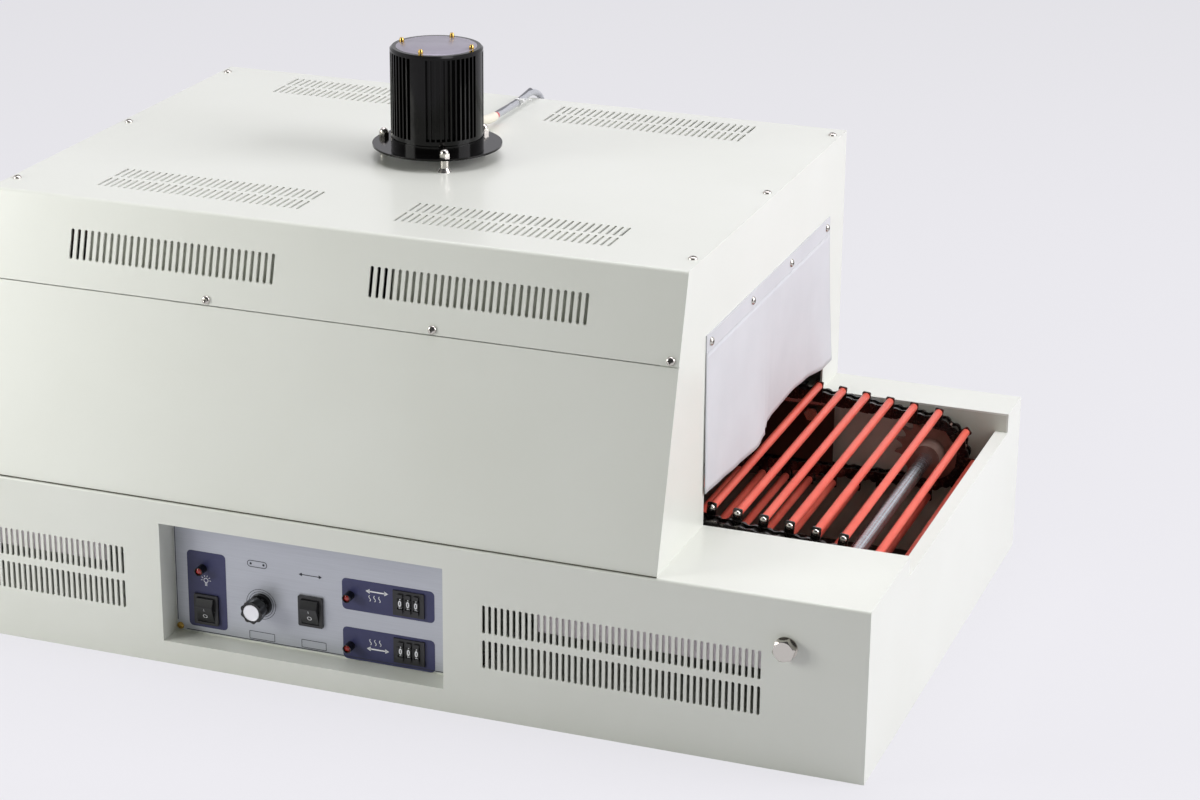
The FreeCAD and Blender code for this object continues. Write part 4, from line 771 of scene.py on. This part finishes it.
print_level = plate_front - symbol_lift
bulb = Vector((-111.5, 80.5))
bulb_radius = 2.5
bulb_rays = (3.6, 5.4)
bulb_cap = 1.2
fine_line = 0.6
white = bmesh.new()
ring(white, *bulb, bulb_radius, fine_line)
for turn in range(0, 181, 36):
    way = Vector((math.cos(math.radians(turn)), math.sin(math.radians(turn))))
    stroke(white, bulb + way * bulb_rays[0], bulb + way * bulb_rays[1], 0.5)
for drop in (3.1, 4.2, 5.3):
    stroke(white, bulb + Vector((-bulb_cap, -drop)), bulb + Vector((bulb_cap, -drop)), fine_line)
arrow_middle = 67
for level, side in ((97, -1), (37.8, 1)):
    for tip in (79, 56):
        arrow(white, (arrow_middle, level), (tip, level), 1.3, 4.4)
    for x in (60, 65, 70):
        squiggle(white, x, level + side * 7, 6, 0.7)
piece(white, "printed_symbols_white", white_ink)

belt_height = 106
travel_middle, travel_height = -1, 103
border_x, border_z = 143.2, (26.3, 142.2)
border_line = 0.8
dark = bmesh.new()
tablet(dark, (-67, -46), (belt_height - 3.5, belt_height + 3.5), 3.4, 0.7)
for x in (-63.2, -49.8):
    ring(dark, x, belt_height, 1.2)
for radius in (13.2, 15.6):
    ring(dark, *knob_centre, radius, 0.5)
for x in (-border_x, border_x):
    stroke(dark, (x, 35), (x, 134), border_line)
for z in border_z:
    stroke(dark, (-134, z), (134, z), border_line)
for tip in (-13, 11):
    arrow(dark, (travel_middle, travel_height), (tip, travel_height), border_line, 3.6)
for x in ((-67, -40), (-12, 14)):
    tablet(dark, x, (27.5, 36), 0.8, fine_line)
piece(dark, "printed_symbols_dark", dark_ink)

# Setter wheels: a flat with its white digit for each tenth of a turn
digit_size = 8.2
digit_weight = 0.3
digit_width = Matrix.Diagonal((0.72, 1, 1, 1))
for row, level in wheel_levels.items():
    for number, x in enumerate(wheel_x, start=1):
        centre = Vector((x, wheel_y, level))
        flats = bmesh.new()
        digits = bmesh.new()
        for step in range(10):
            turn = math.radians(36 * step)
            out = Vector((0, -math.cos(turn), math.sin(turn)))
            up = (0, math.sin(turn), math.cos(turn))
            patch, corners = rectangle(wheel_width * 0.8, wheel_radius * 0.5)
            thickened(patch, list(patch.faces), (0, 0, wheel_radius * 0.105))
            placed(flats, pattern(patch), facing(centre + out * (wheel_radius * 0.9), out, up))
            placed(digits, glyph(str(step), digit_size, digit_weight),
                   facing(centre + out * (wheel_radius * 1.008), out, up) @ digit_width)
        body = row + "_digit_" + str(number)
        piece(flats, row + "_wheel_flats_" + str(number), rocker_nylon, body)
        piece(digits, row + "_wheel_digits_" + str(number), white_ink, body)

# Push buttons above and below each setter wheel: a cap and its stem, each given by its half width, its two
# distances in front of the plate and its two distances from the wheel's level
button_parts = ((2.6, (3.3, 2.5), (5.6, 9.6)), (2.2, (2.5, 1.6), (6.8, 9.3)))
buttons = bmesh.new()
for level in wheel_levels.values():
    for x in wheel_x:
        for side in (-1, 1):
            for half, depth, reach in button_parts:
                slab(buttons, (x - half, x + half), (plate_front - depth[0], plate_front - depth[1]),
                     sorted((level + side * reach[0], level + side * reach[1])))
piece(buttons, "setter_buttons", black_abs)

# Rocker faces: a long flat with its marks, and above it a short slope
rocker_half = 8.7
rocker_foot = Vector((0, -0.5, -12.4))
rocker_ridge = Vector((0, -6.6, 4.8))
rocker_rise = rocker_ridge - rocker_foot
rocker_out = Vector((0, -rocker_rise.z, rocker_rise.y)).normalized()
rocker_outline = ((2, -12.3), (-0.5, -12.4), (-6.3, 3.95), (-6.42, 4.6), (-6.15, 5.5), (-3.1, 11.9),
                  (2, 11.9))
mark_lift = 0.05
for switch, body in ((power_switch, "power_switch"), (heater_switch, "heater_switch")):
    pin = Vector((switch[0], rocker_axis_y, switch[1]))
    face = bmesh.new()
    side = face.faces.new([face.verts.new(pin + Vector((-rocker_half, y, z))) for y, z in rocker_outline])
    thickened(face, [side], (2 * rocker_half, 0, 0))
    piece(face, body + "_face", rocker_nylon, body, smooth=20)
    marks = bmesh.new()
    for text, share, size in (("I", 0.8, 4.2), ("O", 0.38, 6.4)):
        point = rocker_foot.lerp(rocker_ridge, share) + pin + rocker_out * mark_lift
        placed(marks, glyph(text, size), facing(point, rocker_out, rocker_rise))
    piece(marks, body + "_marks", white_ink, body)

# Knob: a spun disc let into its face, and a fluted grip round it
insert_seat = plate_front - knob_length - 1.0
insert = bmesh.new()
placed(insert, pattern(spun([(0, 0.5), (7.6, 0.5), (8.0, 0.9), (8.25, 0.3), (8.25, 0)])),
       facing((knob_centre[0], insert_seat, knob_centre[1]), (0, -1, 0)))
piece(insert, "knob_insert", spun_aluminium, "speed_dial")
grip_bore = 8.4
grip_flutes = 9
grip_swell = 0.25
grip = spun([(grip_bore, 21.7), (10.4, 21.7), (11.1, 21.0), (11.0, 14.5), (10.0, 9.0), (grip_bore, 8.4),
             (grip_bore, 21.7)], 90)
for corner in grip.verts:
    reach = corner.co.xy.length
    turn = math.atan2(corner.co.y, corner.co.x)
    corner.co.xy *= 1 + grip_swell * (reach - grip_bore) * math.cos(grip_flutes * turn) / reach
grips = bmesh.new()
placed(grips, pattern(grip), facing((knob_centre[0], plate_front, knob_centre[1]), (0, -1, 0)))
piece(grips, "knob_grip", gloss_phenolic, "speed_dial")

# Lamps: a black holder tube with a rolled rim and a red lens sunk in it
holder = pattern(spun([(3.5, 3 - lamp_length), (3.5, 0.2), (3.7, 0.5), (4.1, 0.6), (4.4, 0.3),
                       (4.4, -lamp_length)], 36))
lens = pattern(spun([(0, -0.1), (1.6, -0.3), (2.8, -0.8), (3.45, -1.5), (3.45, -2.6)], 36))
holders = bmesh.new()
lenses = bmesh.new()
for x, z in lamp_centres:
    place = facing((x, plate_front - lamp_length, z), (0, -1, 0))
    placed(holders, holder, place)
    placed(lenses, lens, place)
piece(holders, "lamp_holders", gloss_phenolic, stands_for=["lamps"])
piece(lenses, "lamp_lenses", lens_red)

# Faced disc on the motor cap
cap_disc = bmesh.new()
placed(cap_disc, pattern(spun([(0, 0.25), (motor_radius - 6.5, 0.25), (motor_radius - 6.1, 0)], 96)),
       Matrix.Translation((0, motor_y, motor_top)))
piece(cap_disc, "motor_cap_face", cap_top_painted_reflection)


# Cross-recess screws of the hood cover, the curtain clamps and the faceplate
def recessed(mesh, radius, height):
    """Cuts a cross into the top of a screw head."""
    holder = shown("head", mesh)
    cutters = []
    for across, along in ((0.62, 0.16), (0.16, 0.62)):
        cross = bmesh.new()
        slab(cross, (-radius * across, radius * across), (-radius * along, radius * along),
             (height * 0.5, height * 1.5))
        cutters.append(shown("cross", pattern(cross)))
        cut = holder.modifiers.new("cross", "BOOLEAN")
        cut.operation = "DIFFERENCE"
        cut.object = cutters[-1]
    bpy.context.view_layer.update()
    made = bpy.data.meshes.new_from_object(holder.evaluated_get(bpy.context.evaluated_depsgraph_get()))
    for helper in (holder, *cutters):
        bpy.data.objects.remove(helper)
    return made


head_radius = 4.2
head_height = 2.6
screw_inset = 8.2
screw_row = (-1, -1 / 3, 1 / 3, 1)
roof_screws_y = (-179.0, 42.8, 266.0)
clamp_screw_z = 346.25
clamp_face = hood_end + 1.2
clamp_screw_spread = curtain_width / 2 - 12
seam_screw_z = 354.0
seam_screw_y = hood_foot_y + (seam_screw_z - deck_height) * math.tan(hood_lean)
hood_out = (0, -math.cos(hood_lean), math.sin(hood_lean))
domed = [(0, 0), (head_radius, 0), (head_radius, 0.7), (3.9, 1.4), (3.2, 2.1), (2.1, 2.5), (0, head_height)]
domed_head = recessed(pattern(spun(domed, 32)), head_radius, head_height)
heads = bmesh.new()
for side in (-1, 1):
    for y in roof_screws_y:
        placed(heads, domed_head, Matrix.Translation((side * (hood_end - screw_inset), y, roof)))
    for share in screw_row:
        y = bay_middle + share * clamp_screw_spread
        placed(heads, domed_head, facing((side * clamp_face, y, clamp_screw_z), (side, 0, 0)))
for share in screw_row:
    x = share * (hood_end - screw_inset)
    placed(heads, domed_head, facing((x, seam_screw_y, seam_screw_z), hood_out))
piece(heads, "cover_screw_heads", bright_zinc, stands_for=["cover_screws"])

panel_screw_size = Matrix.Scale(0.85, 4)
heads = bmesh.new()
for x in (-140.8, 140.8):
    for z in (28.6, 139.8):
        placed(heads, domed_head, facing((x, plate_front + 0.2, z), (0, -1, 0)) @ panel_screw_size)
piece(heads, "panel_screw_heads", turned_brass)

# Hexagon bolt heads on the inner faces of the side plates
side_bolt_x, side_bolt_z = 347, 147
side_faces = ((-141.6, 1), (215.6, -1))
bolt_head = pattern(spun([(0, 0), (8.0, 0), (8.0, 4.3), (6.9, 5.0), (0, 5.0)], 6))
bolts = bmesh.new()
for x in (-side_bolt_x, side_bolt_x):
    for y, side in side_faces:
        placed(bolts, bolt_head, facing((x, y, side_bolt_z), (0, side, 0)))
piece(bolts, "side_bolt_heads", bright_zinc)

# Motor lead: a glimpse of its red core where the sheath starts, a dark stripe along it, and a tie round it
core_start = (10.5, 169.5, 442.1)
sheath_start = (9.7, 177, 441.4)
tie_place = (8, 240, 439.4)
lead_route = [sheath_start, (8, 218, 439.4), (8, 250, 439.4), (8, 279, 442.0)]
stripe_shift = Vector((-0.8, 0, 0.9))
core = bmesh.new()
bar(core, core_start, (9.8, 177, 441.4), 3.6)
piece(core, "lead_core", wire_red)
stripe = bmesh.new()
for start, end in zip(lead_route, lead_route[1:]):
    bar(stripe, Vector(start) + stripe_shift, Vector(end) + stripe_shift, 2.9)
piece(stripe, "lead_stripe", cable_stripe)
tie = bmesh.new()
placed(tie, pattern(spun([(3.5, -1.6), (4.5, -1.6), (4.6, 0), (4.5, 1.6), (3.5, 1.6)], 24)),
       facing(tie_place, (0, 1, 0)))
slab(tie, (10.5, 15.5), (237.6, 242.4), (440.2, 443.6))
slab(tie, (12, 24), (239.4, 240.4), (443.4, 444.2))
piece(tie, "lead_tie", tie_nylon)

# A dark bead along the foot of the hood: painted shadow for the dark seam line where the hood meets the deck
bead = bmesh.new()
slab(bead, (-hood_end, hood_end), (front_y + 0.9, hood_foot_y), (deck_height, deck_height + 0.8))
piece(bead, "hood_foot_painted_shadow", seam_shadow_finish)

# Baffle sheets, boards and trays close behind the vents, each given by its limits along X
baffles_x = ((-248, -44), (68, 274))
baffles_y = ((-180, -104), (200, 268))
boards_x = ((238, 458), (-458, -205))
trays_x = ((180, 462), (-400, -180))
baffles = bmesh.new()
for x in baffles_x:
    for corner in slab(baffles, x, (front_y + 10, front_y + 11), (366, 412)):
        corner.co.y += (corner.co.z - deck_height) * math.tan(hood_lean)
    for y in baffles_y:
        slab(baffles, x, y, (roof - 9, roof - 8))
# The baffles take the coat that is drawn darker as painted shade
piece(baffles, "hood_baffles", powder_coat_dust_and_shade)
boards = bmesh.new()
for x in boards_x:
    slab(boards, x, (front_y + 3.4, front_y + 4.4), (95.5, 120))
piece(boards, "cabinet_boards", fibre_board)
trays = bmesh.new()
for x in trays_x:
    slab(trays, x, (front_y + 4, bay_front - 8), (46, 47))
piece(trays, "cabinet_trays", powder_coat_cream)

# Floor: the camera and gloss see it glow as the backdrop does, with the object's shadow left in it
ground = bmesh.new()
bmesh.ops.create_grid(ground, x_segments=8, y_segments=8, size=14)
mesh = bpy.data.meshes.new("studio_floor")
ground.to_mesh(mesh)
ground.free()
floor = shown("studio_floor", mesh)
pale_floor, tree = blank("pale_studio_floor")
path = add(tree, "ShaderNodeLightPath")
seen = add(tree, "ShaderNodeMath", {0: path.outputs["Is Camera Ray"], 1: path.outputs["Is Glossy Ray"]},
           operation="MAXIMUM")
seen = add(tree, "ShaderNodeMath", {0: seen.outputs["Value"], 1: path.outputs["Is Transmission Ray"]},
           operation="MAXIMUM")
share = add(tree, "ShaderNodeMath", {0: seen.outputs["Value"], 1: 0.8}, operation="MULTIPLY")
matt = add(tree, "ShaderNodeBsdfDiffuse", {"Color": linear("#cbcacf")})
glow = add(tree, "ShaderNodeEmission", {"Color": linear("#f1f0f5"), "Strength": 1.0})
mixed = add(tree, "ShaderNodeMixShader", {0: share.outputs["Value"], 1: matt.outputs["BSDF"],
                                          2: glow.outputs["Emission"]})
add(tree, "ShaderNodeOutputMaterial", {"Surface": mixed.outputs["Shader"]})
mesh.materials.append(pale_floor)

# World: soft light from everywhere; gloss sees a pale studio behind the object and a dim room in front of it
world = bpy.data.worlds.new("studio")
bpy.context.scene.world = world
world.use_nodes = True
tree = world.node_tree
tree.nodes.clear()
path = add(tree, "ShaderNodeLightPath")
way = add(tree, "ShaderNodeTexCoord").outputs["Generated"]
depth = add(tree, "ShaderNodeSeparateXYZ", {"Vector": way})
behind = add(tree, "ShaderNodeMapRange", {"Value": depth.outputs["Y"], "From Min": -0.75, "From Max": 0.1,
                                          "To Min": 0.0, "To Max": 1.0}, interpolation_type="SMOOTHSTEP")
room = add(tree, "ShaderNodeMix", {"Factor": behind.outputs["Result"], "A": linear("#26272a"),
                                   "B": linear("#e9e8ed")}, data_type="RGBA")
dome = add(tree, "ShaderNodeBackground", {"Color": linear("#f1f5ea"), "Strength": 0.23})
studio = add(tree, "ShaderNodeBackground", {"Color": room.outputs["Result"], "Strength": 1.0})
backdrop = add(tree, "ShaderNodeBackground", {"Color": linear("#f1f0f5"), "Strength": 1.0})
shiny = add(tree, "ShaderNodeMath", {
    0: path.outputs["Is Glossy Ray"], 1: path.outputs["Is Transmission Ray"]}, operation="MAXIMUM")
lit = add(tree, "ShaderNodeMixShader", {0: shiny.outputs["Value"], 1: dome.outputs["Background"],
                                        2: studio.outputs["Background"]})
mixed = add(tree, "ShaderNodeMixShader", {0: path.outputs["Is Camera Ray"], 1: lit.outputs["Shader"],
                                          2: backdrop.outputs["Background"]})
add(tree, "ShaderNodeOutputWorld", {"Surface": mixed.outputs["Shader"]})


# Softboxes
def softbox(name, place, target, width, height, power, colour):
    """A rectangular lamp that faces its target; sizes in metres, power in watts."""
    light = bpy.data.lights.new(name, "AREA")
    light.shape = "RECTANGLE"
    light.size = width
    light.size_y = height
    light.energy = power
    light.color = linear(colour)[:3]
    lamp = shown(name, light)
    lamp.location = place
    lamp.rotation_euler = (Vector(target) - Vector(place)).to_track_quat("-Z", "Y").to_euler()


softbox("key_right", (3.4, 0.3, 2.0), (0.2, 0, 0.3), 2.2, 2.2, 119, "#fdfbff")
softbox("overhead", (0.1, 0.6, 3.4), (0, 0, 0.3), 2.6, 2.0, 58, "#fbf8ff")
softbox("fill_front_left", (-1.45, -1.25, 0.75), (-0.35, -0.28, 0.25), 0.9, 0.9, 23, "#fffffb")

# Camera at the photograph's viewpoint
yaw, pitch, roll = -0.351367, 0.356826, 0.009389
ahead = Vector((math.sin(yaw) * math.cos(pitch), math.cos(yaw) * math.cos(pitch), -math.sin(pitch)))
level_right = Vector((math.cos(yaw), -math.sin(yaw), 0))
level_up = level_right.cross(ahead)
camera_right = level_right * math.cos(roll) + level_up * math.sin(roll)
camera_up = level_up * math.cos(roll) - level_right * math.sin(roll)
camera_data = bpy.data.cameras.new("camera")
camera_data.sensor_width = 36
camera_data.lens = 90.36
camera = shown("camera", camera_data)
camera.location = (1.147648, -2.609232, 1.250803)
camera.rotation_euler = Matrix((camera_right, camera_up, -ahead)).transposed().to_euler()
bpy.context.scene.camera = camera
bpy.context.scene.view_settings.view_transform = "Standard"
